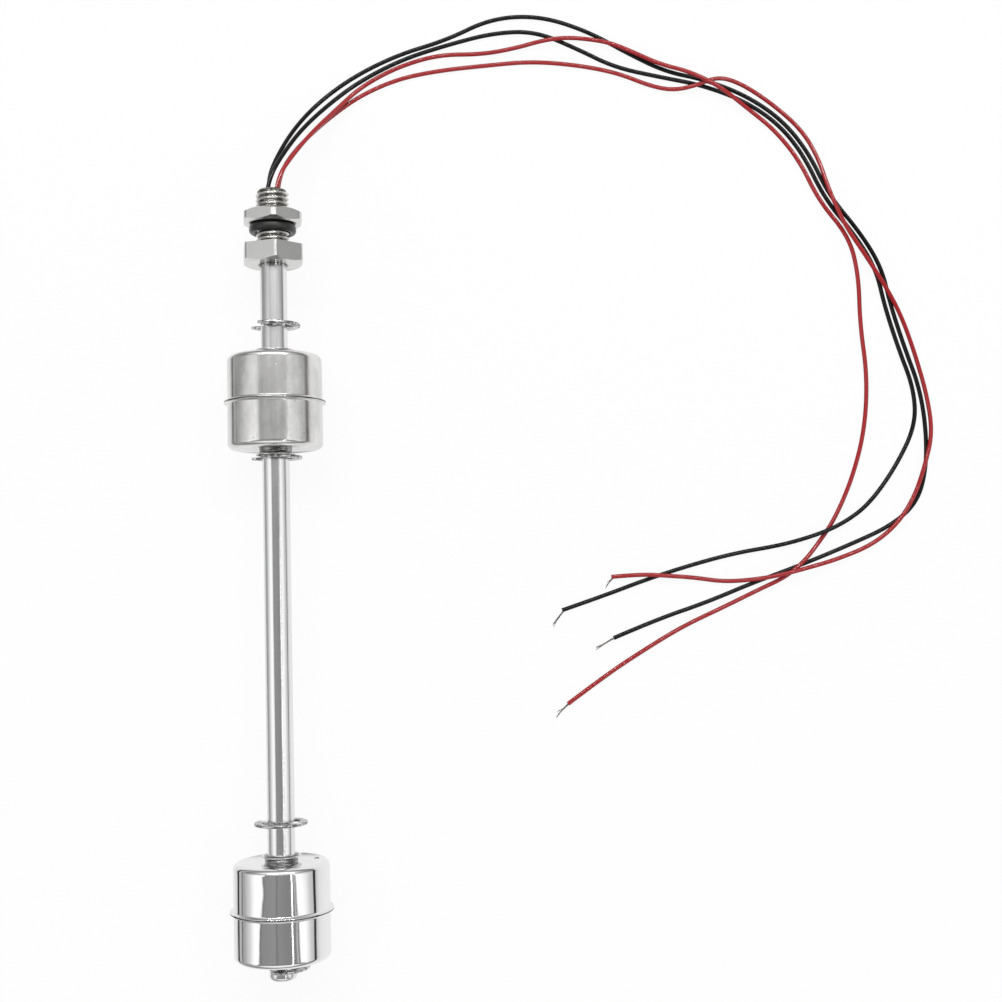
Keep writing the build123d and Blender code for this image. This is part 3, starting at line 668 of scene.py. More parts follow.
def ferrite(shader, finishes):
    """Pressed magnet: dark, matt and fine-grained."""
    grain = shader.noise(2600.0)
    base = between(shader, grain, FERRITE_COLOURS)
    return surface(shader, base, 0.55 + grain * 0.2, shader.bump(grain, 0.00002), {"Metallic": 0.35})


def plain_plastic(shader, colours):
    grain = shader.noise(1800.0)
    return surface(shader, between(shader, grain, colours), 0.45 + grain * 0.15, shader.bump(grain, 0.00001))


def spacer_plastic(shader, finishes):
    return plain_plastic(shader, SPACER_COLOURS)


def shrunk_tubing(shader, finishes):
    return plain_plastic(shader, TUBING_COLOURS)


def reed_blades(shader, finishes):
    """Plated nickel-iron."""
    marks = fine_marks(shader, 3000.0, 150.0)
    return metal(shader, between(shader, marks, BLADE_COLOURS), 0.22 + marks * 0.1, shader.bump(marks, 0.000003))


def reed_glass(shader, finishes):
    """Green-tinted glass of the reed's capsule."""
    swirl = shader.noise(900.0)
    base = between(shader, swirl, GLASS_COLOURS)
    inputs = {"Base Color": base, "Roughness": 0.04 + swirl * 0.03, "Transmission Weight": 0.9, "IOR": 1.47}
    return shader.node("ShaderNodeBsdfPrincipled", None, inputs)


# The record's material slots and the function that makes each
SLOT_FINISHES = {
    "fitting_steel": milled_steel,
    "nut_steel": milled_steel,
    "stem_steel": polished_steel,
    "clip_steel": bright_steel,
    "sleeve_steel": sleeve_steel,
    "upper_float_steel": satin_float_steel,
    "lower_float_steel": mirror_float_steel,
    "seal_rubber": seal_rubber,
    "magnet_ferrite": ferrite,
    "spacer_plastic": spacer_plastic,
    "reed_glass": reed_glass,
    "reed_blade_metal": reed_blades,
    "reed_tubing_plastic": shrunk_tubing,
    "potting_resin": cast_resin,
    "wire_black": black_insulation,
    "wire_red": red_insulation,
    "tinned_strands": tinned_copper}


def finish_of(slot):
    """A slot's material, made by its function the first time that it is asked for."""
    name = slot + "_finish"
    material = bpy.data.materials.get(name)
    if material is None:
        material = bpy.data.materials.new(name)
        shader = Shader(material)
        made = SLOT_FINISHES[slot](shader, bpy.context.scene.switch_finishes)
        shader.node("ShaderNodeOutputMaterial", None, {"Surface": made.outputs[0]})
    return material


def slot_of(node):
    """The record's material slot of a CAD node."""
    for part in frame["record"]["subparts"]:
        if part["node"] == node:
            return part["material_slot"]
    raise KeyError(node)


def body_of(node):
    """The body that a CAD node moves with."""
    for body, nodes in frame["record"]["behaviour"]["bodies"].items():
        if node in nodes:
            return body
    raise KeyError(node)


def dress(piece, node):
    """Gives a finished piece its place in the model: its body and the finish of its node's slot, and hides the node
    that it stands for.
    """
    slot = slot_of(node)
    piece.data.materials.clear()
    piece.data.materials.append(finish_of(slot))
    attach(piece, body_of(node))
    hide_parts(node)
    return piece


# Modelling helpers


def whole_mesh(bm):
    return bm.verts[:] + bm.edges[:] + bm.faces[:]


def in_scene(name, data):
    """A new object with its data, linked to the scene."""
    made = bpy.data.objects.new(name, data)
    bpy.context.scene.collection.objects.link(made)
    return made


def mesh_of(bm, name):
    """A new mesh from a bmesh, which is freed."""
    mesh = bpy.data.meshes.new(name)
    bm.to_mesh(mesh)
    bm.free()
    return mesh


def finished(bm, name, smooth_angle, bevel=0.0, segments=2):
    """A new object from a bmesh: closed, facing outwards, smooth but for its sharp edges."""
    bmesh.ops.remove_doubles(bm, verts=bm.verts[:], dist=MERGE)
    bmesh.ops.recalc_face_normals(bm, faces=bm.faces[:])
    piece = in_scene(name, mesh_of(bm, name))
    mesh = piece.data
    mesh.polygons.foreach_set("use_smooth", [True] * len(mesh.polygons))
    if bevel > 0.0:
        rounding = piece.modifiers.new("Edge rounding", "BEVEL")
        rounding.width = bevel
        rounding.segments = segments
        rounding.limit_method = "ANGLE"
        rounding.angle_limit = math.radians(smooth_angle)
        rounding.harden_normals = True
    else:
        mesh.set_sharp_from_angle(angle=math.radians(smooth_angle))
        even = piece.modifiers.new("Even shading", "WEIGHTED_NORMAL")
        even.keep_sharp = True
    return piece


def outline(bm, corners, closed):
    """A few points (radius, y) in the half plane beside the stem's axis, joined by edges."""
    points = [bm.verts.new((radius, y, AXIS_Z)) for radius, y in corners]
    pairs = list(zip(points, points[1:]))
    if closed:
        pairs.append((points[-1], points[0]))
    for pair in pairs:
        bm.edges.new(pair)
    return points


def round_corner(bm, point, size, segments):
    """Rounds one corner of an outline, before it is turned."""
    bmesh.ops.bevel(bm, geom=[point], offset=size, segments=segments, profile=0.5,
                    affect="VERTICES", material=-1)


def turn(bm, steps):
    """Turns the outline round the stem's axis."""
    bmesh.ops.spin(bm, geom=whole_mesh(bm), cent=(0.0, 0.0, AXIS_Z), axis=(0.0, 1.0, 0.0), dvec=(0.0, 0.0, 0.0),
                   angle=math.tau, steps=steps, use_merge=True, use_duplicate=False)
    bmesh.ops.remove_doubles(bm, verts=bm.verts[:], dist=MERGE)


def copy_of_node(node):
    """A bmesh copy of a CAD node's mesh, with its loose triangles merged into flat faces."""
    bm = bmesh.new()
    bm.from_mesh(frame["nodes"][node].data)
    bmesh.ops.remove_doubles(bm, verts=bm.verts[:], dist=COARSE_MERGE)
    bmesh.ops.dissolve_limit(bm, angle_limit=math.radians(1.0), verts=bm.verts[:], edges=bm.edges[:])
    return bm


# Wires and their bare strands


def wire_route(side_x, side_z, lean, points):
    """A wire's control points: out of the resin, leaning a little to the side, then along the table."""
    x = side_x * WIRE_SPACING / 2
    z = AXIS_Z + side_z * WIRE_SPACING / 2
    return [(x, POTTING_TOP, z), (x + lean, POTTING_TOP + WIRE_STRAIGHT, z)] + points


def round_curve(name, diameter, roundness):
    """An empty curve with a round section and closed ends."""
    curve = bpy.data.curves.new(name, "CURVE")
    curve.dimensions = "3D"
    curve.bevel_depth = diameter / 2
    curve.bevel_resolution = roundness
    curve.use_fill_caps = True
    return curve


def smooth_spline(curve, points):
    """One smooth open spline that starts and ends at its first and last points."""
    spline = curve.splines.new("NURBS")
    spline.points.add(len(points) - 1)
    for target, place in zip(spline.points, points):
        target.co = (*place, 1.0)
    spline.order_u = 3
    spline.use_endpoint_u = True
    spline.resolution_u = 8


class SWITCH_OT_wires(bpy.types.Operator):
    """Lays the four insulated wires along their routes"""
    bl_idname = "switch.wires"
    bl_label = "Wires"

    def execute(self, context):
        for name, (side_x, side_z, lean, length, points) in WIRES.items():
            route = wire_route(side_x, side_z, lean, points)
            curve = round_curve("insulated_wire_" + name, WIRE_DIAMETER, roundness=5)
            smooth_spline(curve, route)
            piece = dress(in_scene(curve.name, curve), "wire_" + name)
            strands = bpy.data.objects["strands_" + name]
        return {"FINISHED"}


def wire_end(name):
    """The wire's end point and its direction there, read from its route."""
    before, end = (Vector(point) for point in WIRES[name][-1][-2:])
    return end, (end - before).normalized()


def tube_from_curve(curve, name):
    """The curve's round tubes as one object with a mesh, the curve removed."""
    source = bpy.data.objects.new(name, curve)
    mesh = bpy.data.meshes.new_from_object(source)
    mesh.name = name
    bpy.data.objects.remove(source)
    bpy.data.curves.remove(curve)
    return in_scene(name, mesh)


class SWITCH_OT_bare_strands(bpy.types.Operator):
    """Splays the bare copper strands at the end of each wire"""
    bl_idname = "switch.bare_strands"
    bl_label = "Bare strands"

    def execute(self, context):
        sizes = context.scene.switch_sizes
        for name in WIRES:
            draw = random.Random(name)
            end, ahead = wire_end(name)
            node_low, node_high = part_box("bare_strands_" + name)
            middle = (node_low + node_high) / 2
            tip = end + (middle - end) * 2.0
            aside = ahead.cross(Vector((0.0, 0.0, 1.0))).normalized()
            curve = round_curve("strands_" + name, sizes.strand_diameter, roundness=2)
            ring = WIRE_DIAMETER * STRAND_BUNDLE_SHARE / 2
            for strand in range(sizes.strand_count):
                start = math.tau * strand / sizes.strand_count
                reach = draw.uniform(*STRAND_REACH)
                splay = draw.uniform(-1.0, 1.0) * STRAND_SPLAY
                radius = ring if strand else 0.0
                places = []
                for step in range(STRAND_STEPS + 1):
                    share = step / STRAND_STEPS
                    centre = end.lerp(tip, share * reach) - ahead * STRAND_TUCK * (1.0 - share)
                    twist = start + share * STRAND_TWIST
                    out = radius * (1.0 - share * STRAND_CLOSING)
                    place = centre + aside * (math.cos(twist) * out + splay * share ** 3)
                    rise = math.sin(twist) * out * (1.0 - share * STRAND_SINKING)
                    place.z = max(centre.z + rise, sizes.strand_diameter / 2)
                    places.append(place)
                smooth_spline(curve, places)
            dress(tube_from_curve(curve, "strands_" + name), "bare_strands_" + name)
        return {"FINISHED"}


# Threaded fitting and lock nut


def hexagon_radius(across_flats, turn_angle, corner_radius, angle):
    """The hexagon's radius at an angle round the stem, its corners cut at a radius."""
    sixth = math.tau / 6
    from_flat = (angle - turn_angle + sixth / 2) % sixth - sixth / 2
    return min(across_flats / 2 / math.cos(from_flat), corner_radius)


def angle_of(vert):
    return math.atan2(vert.co.z - AXIS_Z, vert.co.x)


def radius_of(vert):
    return math.hypot(vert.co.z - AXIS_Z, vert.co.x)


def set_radius(vert, radius):
    """Moves a vertex straight in or out from the stem's axis."""
    angle = angle_of(vert)
    vert.co.x = math.cos(angle) * radius
    vert.co.z = AXIS_Z + math.sin(angle) * radius


def next_ring(bm, edges, radius_at, y_at):
    """Extrudes a ring of edges to a radius and a height, each a number or a function of the angle round the stem."""
    made = bmesh.ops.extrude_edge_only(bm, edges=edges)["geom"]
    ring = [part for part in made if isinstance(part, bmesh.types.BMEdge)]
    verts = {part for part in made if isinstance(part, bmesh.types.BMVert)}
    for vert in verts:
        angle = angle_of(vert)
        set_radius(vert, radius_at(angle) if callable(radius_at) else radius_at)
        vert.co.y = y_at(angle) if callable(y_at) else y_at
    return [edge for edge in ring if edge.verts[0] in verts and edge.verts[1] in verts]


def ring_at(bm, y):
    """The open edges that lie at one height."""
    return [edge for edge in bm.edges if edge.is_boundary
            and all(abs(vert.co.y - y) < COARSE_MERGE for vert in edge.verts)]


def cut_at(bm, y, clear_below=False, clear_above=False):
    bmesh.ops.bisect_plane(bm, geom=whole_mesh(bm), dist=CUT_MERGE, plane_co=(0.0, y, 0.0), plane_no=(0.0, 1.0, 0.0),
                           clear_outer=clear_above, clear_inner=clear_below)


def thread_surface(bm, low, high, play):
    """Helical thread between two heights, with rounded crests and roots; play moves it outwards."""
    sizes = bpy.context.scene.switch_sizes
    pitch = sizes.thread_pitch
    crest = THREAD_RADIUS + play
    root = crest - sizes.thread_depth
    start = SEALING_FACE - pitch
    crest_low = pitch * (0.5 + ROOT_SHARE / 2 - CREST_SHARE / 2)
    corners = []
    for ridge in range(math.ceil((THREAD_END - start) / pitch) + 1):
        base = start + ridge * pitch
        corners += [(root, base), (root, base + pitch * ROOT_SHARE), (crest, base + crest_low),
                    (crest, base + crest_low + pitch * CREST_SHARE)]
    for point in outline(bm, corners, False)[1:-1]:
        round_corner(bm, point, THREAD_ROUND, segments=3)
    bmesh.ops.rotate(bm, cent=(0.0, 0.0, AXIS_Z), matrix=Matrix.Rotation(HEX_TURN, 3, "Y"), verts=bm.verts[:])
    bmesh.ops.spin(bm, geom=whole_mesh(bm), cent=(0.0, 0.0, AXIS_Z), axis=(0.0, 1.0, 0.0),
                   dvec=(0.0, pitch / THREAD_STEPS, 0.0), angle=math.tau, steps=THREAD_STEPS,
                   use_merge=False, use_duplicate=False)
    bmesh.ops.remove_doubles(bm, verts=bm.verts[:], dist=COARSE_MERGE)
    cut_at(bm, low, clear_below=True)
    cut_at(bm, high, clear_above=True)


def milled(bm, name):
    """A finished piece with the small bevels of a milled one."""
    edge = bpy.context.scene.switch_sizes.edge_round
    return finished(bm, name, HEX_SMOOTH_ANGLE, edge, HEX_EDGE_SEGMENTS)


class SWITCH_OT_threaded_fitting(bpy.types.Operator):
    """Turns the fitting: a hollow thread on a hexagon with the stem's socket in its back"""
    bl_idname = "switch.threaded_fitting"
    bl_label = "Threaded fitting"

    def execute(self, context):
        bm = bmesh.new()
        thread_surface(bm, SEALING_FACE, THREAD_END, 0.0)
        for share in THREAD_END_CUTS:
            cut_at(bm, THREAD_END - THREAD_END_CHAMFER * share)
        for vert in bm.verts:
            past = vert.co.y - (THREAD_END - THREAD_END_CHAMFER)
            if past > 0.0:
                set_radius(vert, min(radius_of(vert), THREAD_RADIUS - past))
        end_ring = ring_at(bm, THREAD_END)
        face_ring = ring_at(bm, SEALING_FACE)
        rim = next_ring(bm, end_ring, BORE_RADIUS, THREAD_END)
        inside = next_ring(bm, rim, BORE_RADIUS, HEX_BACK + SOCKET_DEPTH)

        def outside(angle):
            return hexagon_radius(HEX_ACROSS_FLATS, -HEX_TURN, HEX_CORNER_RADIUS, angle)

        def back(angle):
            return HEX_BACK + (outside(angle) - HEX_FACE_RADIUS) * CORNER_SLOPE

        ring = next_ring(bm, face_ring, outside, SEALING_FACE)
        ring = next_ring(bm, ring, outside, back)
        ring = next_ring(bm, ring, HEX_FACE_RADIUS, HEX_BACK)
        ring = next_ring(bm, ring, SOCKET_RADIUS, HEX_BACK)
        ring = next_ring(bm, ring, SOCKET_RADIUS, HEX_BACK + SOCKET_DEPTH)
        bmesh.ops.bridge_loops(bm, edges=ring + inside)
        dress(milled(bm, "threaded_fitting"), "threaded_fitting")
        return {"FINISHED"}


class SWITCH_OT_lock_nut(bpy.types.Operator):
    """Makes the lock nut, its thread meshing with the fitting's"""
    bl_idname = "switch.lock_nut"
    bl_label = "Lock nut"

    def execute(self, context):
        low, high = (corner.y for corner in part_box("lock_nut"))
        bm = bmesh.new()
        thread_surface(bm, low, high, context.scene.switch_sizes.thread_play * 2.0)
        for share in NUT_BORE_CUTS:
            cut_at(bm, low + NUT_BORE_CHAMFER * share)
            cut_at(bm, high - NUT_BORE_CHAMFER * share)
        wide = THREAD_RADIUS + NUT_BORE_CHAMFER
        for vert in bm.verts:
            from_end = min(vert.co.y - low, high - vert.co.y)
            set_radius(vert, max(radius_of(vert), wide - from_end))

        def outside(angle):
            return hexagon_radius(HEX_ACROSS_FLATS, -NUT_TURN, NUT_CORNER_RADIUS, angle)

        def drop(angle):
            return (outside(angle) - NUT_FACE_RADIUS) * CORNER_SLOPE

        top_ring = ring_at(bm, high)
        ring = ring_at(bm, low)
        ring = next_ring(bm, ring, NUT_FACE_RADIUS, low)
        ring = next_ring(bm, ring, outside, lambda angle: low + drop(angle))
        ring = next_ring(bm, ring, outside, lambda angle: high - drop(angle))
        ring = next_ring(bm, ring, NUT_FACE_RADIUS, high)
        bmesh.ops.bridge_loops(bm, edges=ring + top_ring)
        dress(milled(bm, "lock_nut"), "lock_nut")
        return {"FINISHED"}


class SWITCH_OT_seal_ring(bpy.types.Operator):
    """Makes the rubber seal ring"""
    bl_idname = "switch.seal_ring"
    bl_label = "Seal ring"

    def execute(self, context):
        low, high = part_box("seal_ring")
        outside = (high.x - low.x) / 2
        inside = outside - SEAL_WIDTH
        bm = bmesh.new()
        for point in outline(bm, [(inside, low.y), (outside, low.y), (outside, high.y), (inside, high.y)], True):
            round_corner(bm, point, SEAL_ROUNDING, segments=10)
        turn(bm, SEAL_STEPS)
        dress(finished(bm, "seal_ring", smooth_angle=60.0), "seal_ring")
        return {"FINISHED"}


# Stem, its end and the clips


class SWITCH_OT_stem(bpy.types.Operator):
    """Draws the stem with a groove for each clip, and its welded end"""
    bl_idname = "switch.stem"
    bl_label = "Stem and its end"

    def execute(self, context):
        corners = [(STEM_BORE_RADIUS, STEM_LOW.y), (STEM_RADIUS, STEM_LOW.y)]
        for clip in CLIPS:
            low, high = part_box(clip)
            corners += [(STEM_RADIUS, low.y - GROOVE_PLAY), (GROOVE_RADIUS, low.y - GROOVE_PLAY),
                        (GROOVE_RADIUS, high.y + GROOVE_PLAY), (STEM_RADIUS, high.y + GROOVE_PLAY)]
        corners += [(STEM_RADIUS, STEM_HIGH.y), (STEM_BORE_RADIUS, STEM_HIGH.y)]
        bm = bmesh.new()
        outline(bm, corners, True)
        turn(bm, STEM_STEPS)
        dress(finished(bm, "stem_tube", smooth_angle=30.0, bevel=GROOVE_ROUND), "stem_tube")

        low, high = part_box("stem_end_plug")
        bm = bmesh.new()
        inside = STEM_BORE_RADIUS - PLUG_PLAY
        points = outline(bm, [(0.0, low.y), (STEM_RADIUS, low.y), (STEM_RADIUS, STEM_LOW.y), (inside, STEM_LOW.y),
                              (inside, high.y), (0.0, high.y)], False)
        round_corner(bm, points[1], PLUG_ROUNDING, segments=10)
        turn(bm, STEM_STEPS)
        dress(finished(bm, "stem_end_plug", smooth_angle=30.0), "stem_end_plug")
        return {"FINISHED"}


class SWITCH_OT_clips(bpy.types.Operator):
    """Makes the four retaining clips, their stamped edges softened"""
    bl_idname = "switch.clips"
    bl_label = "Retaining clips"

    def execute(self, context):
        for clip in CLIPS:
            name = clip.replace("_clip", "_ring")
            edge = context.scene.switch_sizes.edge_round
            dress(finished(copy_of_node(clip), name, smooth_angle=30.0, bevel=edge), clip)
        return {"FINISHED"}


# Floats


def drawn_cup(name, seam, face, weld_mark):
    """One half shell of a float: flat end, rounded corner, wall and outward rim."""
    toward = 1.0 if face > seam else -1.0
    rim = seam + toward * BEAD_RIM
    inside = face - toward * FLOAT_WALL
    bm = bmesh.new()
    points = outline(bm, [(CUP_HOLE_RADIUS, face), (FLOAT_RADIUS, face), (FLOAT_RADIUS, rim), (BEAD_RADIUS, rim),
                          (BEAD_RADIUS, seam), (FLOAT_RADIUS - FLOAT_WALL, seam), (FLOAT_RADIUS - FLOAT_WALL, inside),
                          (CUP_HOLE_RADIUS, inside)], True)
    for corner, size, segments in ((1, FLOAT_CORNER, 12), (6, FLOAT_CORNER - FLOAT_WALL, 6), (2, RIM_FILLET, 4),
                                   (3, RIM_ROUND, 4), (4, SEAM_ROUND, 2)):
        round_corner(bm, points[corner], size, segments)
    turn(bm, FLOAT_STEPS)
    if weld_mark:
        made = bmesh.ops.create_uvsphere(bm, u_segments=28, v_segments=14, radius=VENT_WELD_RADIUS)["verts"]
        bmesh.ops.scale(bm, vec=(1.0, VENT_WELD_FLATNESS, 1.0), verts=made)
        bmesh.ops.translate(bm, vec=(VENT_WELD_X, face, AXIS_Z + VENT_WELD_Z), verts=made)
    return finished(bm, name, smooth_angle=40.0)


def flared_sleeve(name, seam, half_length):
    """The tube through a float, flared into a lip at each end."""
    bm = bmesh.new()
    outside = SLEEVE_RADIUS + SLEEVE_WALL
    bend = LIP_RADIUS - SLEEVE_RADIUS - SLEEVE_WALL
    lip_round = SLEEVE_WALL * LIP_ROUND_SHARE
    for side in (-1.0, 1.0):
        end = seam + side * half_length
        under_lip = end - side * SLEEVE_WALL
        points = outline(bm, [(SLEEVE_RADIUS, seam), (SLEEVE_RADIUS, end), (LIP_RADIUS, end),
                              (LIP_RADIUS, under_lip), (outside, under_lip), (outside, seam)], False)
        for corner, size, segments in ((1, (bend + SLEEVE_WALL) * LIP_BEND_SHARE, 8), (4, bend * LIP_BEND_SHARE, 8),
                                       (2, lip_round, 2), (3, lip_round, 2)):
            round_corner(bm, points[corner], size, segments)
    bmesh.ops.remove_doubles(bm, verts=bm.verts[:], dist=MERGE)
    turn(bm, FLOAT_STEPS)
    return finished(bm, name, smooth_angle=40.0)


class SWITCH_OT_floats(bpy.types.Operator):
    """Makes both floats: two drawn cups, welded at their rims, round a flared sleeve"""
    bl_idname = "switch.floats"
    bl_label = "Floats"

    def execute(self, context):
        for prefix in ("upper_float", "lower_float"):
            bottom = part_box(prefix + "_bottom_cup")[0].y
            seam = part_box(prefix + "_bottom_cup")[1].y
            top = seam + (seam - bottom)
            dress(drawn_cup(prefix + "_top_shell", seam, top, True), prefix + "_top_cup")
            dress(drawn_cup(prefix + "_bottom_shell", seam, bottom, False), prefix + "_bottom_cup")
            low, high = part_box(prefix + "_sleeve")
            dress(flared_sleeve(prefix + "_flared_sleeve", seam, (high.y - low.y) / 2), prefix + "_sleeve")
        return {"FINISHED"}


# Resin round the wires, and what is hidden inside


class SWITCH_OT_resin(bpy.types.Operator):
    """Casts the resin, which crept a little way up each wire"""
    bl_idname = "switch.resin"
    bl_label = "Cast resin"

    def execute(self, context):
        low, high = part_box("wire_potting")
        radius = (high.x - low.x) / 2
        bm = bmesh.new()
        points = outline(bm, [(0.0, low.y), (radius, low.y), (radius, high.y), (0.0, high.y)], False)
        top_edge = [edge for edge in bm.edges if points[2] in edge.verts and points[3] in edge.verts]
        bmesh.ops.subdivide_edges(bm, edges=top_edge, cuts=RESIN_RINGS)
        turn(bm, RESIN_STEPS)
        half = WIRE_SPACING / 2
        for vert in bm.verts:
            if vert.co.y > high.y - COARSE_MERGE and radius_of(vert) < radius - RESIN_RIM:
                gaps = [math.hypot(vert.co.x - side_x * half, vert.co.z - AXIS_Z - side_z * half)
                        for side_x in (-1, 1) for side_z in (-1, 1)]
                creep = max(0.0, 1.0 - max(min(gaps) - WIRE_DIAMETER / 2, 0.0) / RESIN_CREEP_WIDTH)
                vert.co.y += RESIN_CREEP * creep ** 2
        dress(finished(bm, "cast_resin", smooth_angle=40.0), "wire_potting")
        return {"FINISHED"}


class SWITCH_OT_hidden_pieces(bpy.types.Operator):
    """Gives the magnets, spacers, reed switches and inner leads their finishes"""
    bl_idname = "switch.hidden_pieces"
    bl_label = "Hidden pieces"

    def execute(self, context):
        for part in frame["record"]["subparts"]:
            node, slot = part["node"], part["material_slot"]
            if any(word in node for word in ("magnet", "reed", "inner_lead")):
                holder = frame["nodes"][node]
                if not holder.material_slots:
                    holder.data.materials.append(None)
                holder.material_slots[0].material = finish_of(slot)
        return {"FINISHED"}


# Stage: table, world, lamps and camera


def profile(shader, place, steps, brightest=1.0):
    """A brightness that follows its steps (place, brightness) from the first place to the last."""
    low, high = steps[0][0], steps[-1][0]
    stops = [((at - low) / (high - low), (value / brightest,) * 3) for at, value in steps]
    return shader.number("ShaderNodeValToRGB", {"stops": stops}, {0: (place - low) / (high - low)}) * brightest


def white_table(shader):
    """White table: it stays white behind the object and still keeps its soft shadow, which the metal shows more."""
    white = (bpy.context.scene.switch_stage.floor_white,) * 3
    path = shader.node("ShaderNodeLightPath").outputs
    names = ("Is Camera Ray", "Is Glossy Ray", "Is Transmission Ray", "Ray Length")
    camera, glossy, through, reach = (Number(shader, path[name]) for name in names)
    seen = profile(shader, shader.parts(shader.place())[0], TABLE_SEEN)
    beside = reach.ramp(0.0, SHADE_BESIDE) * (1.0 - SHADE_LEAST) + SHADE_LEAST
    strength = 1.0 + glossy * (seen * beside - 1.0)
    plain = shades(shader, shader.noise(TABLE_GRAIN), white, 1.0, TABLE_GRAIN_SHADE)
    matt = shader.node("ShaderNodeBsdfDiffuse", None, {"Color": shader.mix(strength, BLACK, plain)})
    glow = shader.node("ShaderNodeEmission", None, {"Color": WHITE, "Strength": strength})
    share = (camera.either(through) * FLOOR_GLOW_SHARE).either(glossy * FLOOR_MIRRORED_SHARE)
    mixed = shader.node("ShaderNodeMixShader", None, {0: share, 1: matt.outputs[0], 2: glow.outputs[0]})
    shader.node("ShaderNodeOutputMaterial", None, {"Surface": mixed.outputs[0]})


def tent_world(world):
    """Light tent as the metal shows it: bright walls and a grey gap overhead by the stem, plainer by the thread, and
    a dark line above the table's edge on the wires' side."""
    shader = Shader(world)
    direction = shader.node("ShaderNodeTexCoord").outputs["Generated"]
    x, y, z = shader.parts(direction)
    sway = shader.noise_on(direction, SWAY_SCALE, 2.0) - 0.5
    angle = x.maths("ARCTAN2", x, z) * math.degrees(1.0) + sway * SWAY_DEGREES
    widening = 1.0 - 1.0 / (1.0 + (GAP_WIDENS_FROM - y).either(0.0) * GAP_WIDENING)
    from_centre = angle - GAP_CENTRE
    angle = angle - from_centre * widening * (1.0 - from_centre.size().ramp(*GAP_REACH))
    by_stem = profile(shader, angle, TENT_BY_STEM, TENT_BRIGHTEST)
    by_thread = profile(shader, angle, TENT_BY_THREAD, TENT_BRIGHTEST)
    light = by_stem + (y + sway * SWAY_AT_THREAD).ramp(*STEM_TO_THREAD) * (by_thread - by_stem)
    light = light * profile(shader, y + sway * SWAY_ALONG, TENT_ALONG)
    end_light = profile(shader, z, TENT_END_BY_HEIGHT, TENT_BRIGHTEST)
    light = light + y.size().ramp(*TENT_END_REACH) * (end_light - light)
    beside_line = (y.size() - TENT_END_LINE).size().ramp(*END_LINE_WIDTH)
    light = light * (END_LINE_LIGHT + beside_line * (1.0 - END_LINE_LIGHT))
    camera = Number(shader, shader.node("ShaderNodeLightPath").outputs["Is Camera Ray"])
    strength = light + camera * (1.0 - light)
    background = shader.node("ShaderNodeBackground", None, {"Color": WHITE, "Strength": strength})
    shader.node("ShaderNodeOutputWorld", None, {"Surface": background.outputs[0]})


def soft_lamp(name, place, turn_x, turn_y, width, length, power):
    """A flat lamp, its width along X and its length along Y before it is turned to face the object."""
    lamp = bpy.data.lights.new(name, "AREA")
    lamp.shape = "RECTANGLE"
    lamp.size = width
    lamp.size_y = length
    lamp.energy = power
    holder = in_scene(name, lamp)
    holder.location = place
    holder.rotation_euler = (turn_x, turn_y, 0.0)


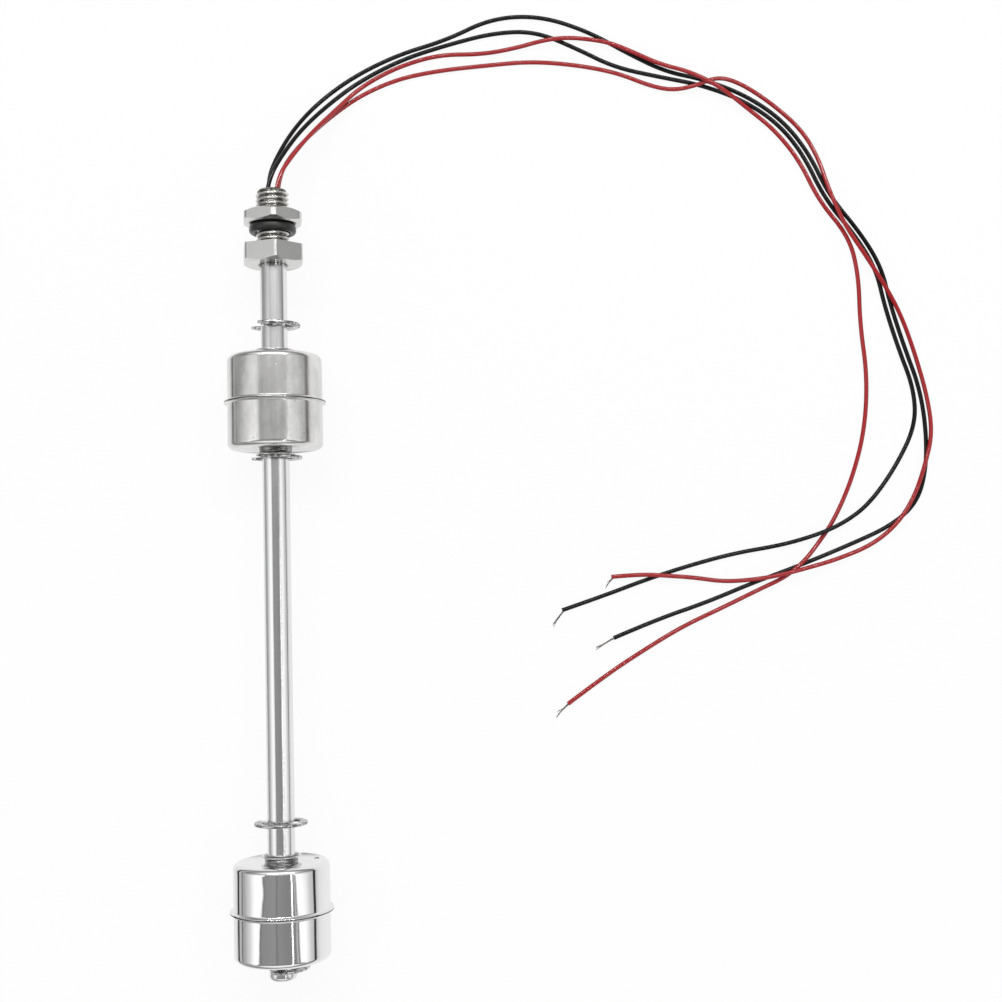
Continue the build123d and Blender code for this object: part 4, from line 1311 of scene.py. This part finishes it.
class SWITCH_OT_stage(bpy.types.Operator):
    """Makes the table, the light tent and the camera"""
    bl_idname = "switch.stage"
    bl_label = "Stage"

    def execute(self, context):
        scene = context.scene
        stage = scene.switch_stage
        bm = bmesh.new()
        bmesh.ops.create_grid(bm, x_segments=1, y_segments=1, size=TABLE_HALF)
        table = in_scene("table", mesh_of(bm, "table"))
        material = bpy.data.materials.new("white_table")
        white_table(Shader(material))
        table.data.materials.append(material)
        scene.world = bpy.data.worlds.new("light_tent")
        tent_world(scene.world)
        side, height = LAMP_DISTANCE * math.sin(STRIP_LAMP_ANGLE), LAMP_DISTANCE * math.cos(STRIP_LAMP_ANGLE)
        soft_lamp("strip_lamp", (side, STRIP_LAMP_MIDDLE, height), 0.0, STRIP_LAMP_ANGLE,
                  STRIP_LAMP_WIDTH, STRIP_LAMP_LENGTH, STRIP_LAMP_POWER)
        side, height = LAMP_DISTANCE * math.sin(BAR_LAMP_ANGLE), LAMP_DISTANCE * math.cos(BAR_LAMP_ANGLE)
        soft_lamp("bar_lamp", (BAR_LAMP_MIDDLE, side, height), -BAR_LAMP_ANGLE, 0.0,
                  BAR_LAMP_LENGTH, BAR_LAMP_WIDTH, BAR_LAMP_POWER)
        lens = bpy.data.cameras.new("camera")
        lens.lens = stage.camera_lens
        lens.sensor_width = SENSOR_WIDTH
        lens.clip_start, lens.clip_end = CAMERA_REACH
        scene.camera = in_scene("camera", lens)
        turn_of_view = Matrix.Rotation(stage.camera_tilt, 4, "X") @ Matrix.Rotation(-stage.camera_roll, 4, "Z")
        scene.camera.matrix_world = Matrix.Translation(stage.camera_place) @ turn_of_view
        scene.view_settings.view_transform = "Standard"
        return {"FINISHED"}


OPERATORS = (
    SWITCH_OT_stage,
    SWITCH_OT_bare_strands,
    SWITCH_OT_wires,
    SWITCH_OT_threaded_fitting,
    SWITCH_OT_lock_nut,
    SWITCH_OT_seal_ring,
    SWITCH_OT_stem,
    SWITCH_OT_clips,
    SWITCH_OT_floats,
    SWITCH_OT_resin,
    SWITCH_OT_hidden_pieces)


class SWITCH_PT_panel(bpy.types.Panel):
    """Lists the pieces and their settings"""
    bl_idname = "SWITCH_PT_panel"
    bl_label = "Float level switch"
    bl_space_type = "VIEW_3D"
    bl_region_type = "UI"
    bl_category = "Level Switch"

    def draw(self, context):
        for operator in OPERATORS:
            self.layout.operator(operator.bl_idname)
        scene = context.scene
        for group in (scene.switch_sizes, scene.switch_finishes, scene.switch_stage):
            box = self.layout.box()
            for key in group.__annotations__:
                box.prop(group, key)


GROUPS = (SwitchSizes, SwitchFinishes, SwitchStage)


def register():
    for group in GROUPS:
        bpy.utils.register_class(group)
    for operator in OPERATORS:
        bpy.utils.register_class(operator)
    bpy.utils.register_class(SWITCH_PT_panel)
    bpy.types.Scene.switch_sizes = PointerProperty(type=SwitchSizes)
    bpy.types.Scene.switch_finishes = PointerProperty(type=SwitchFinishes)
    bpy.types.Scene.switch_stage = PointerProperty(type=SwitchStage)


def unregister():
    del bpy.types.Scene.switch_stage
    del bpy.types.Scene.switch_finishes
    del bpy.types.Scene.switch_sizes
    bpy.utils.unregister_class(SWITCH_PT_panel)
    for operator in reversed(OPERATORS):
        bpy.utils.unregister_class(operator)
    for group in reversed(GROUPS):
        bpy.utils.unregister_class(group)


def main():
    """Makes the whole scene."""
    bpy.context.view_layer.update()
    register()
    for operator in OPERATORS:
        category, name = operator.bl_idname.split(".")
        getattr(getattr(bpy.ops, category), name)()


if __name__ == "__main__":
    main()
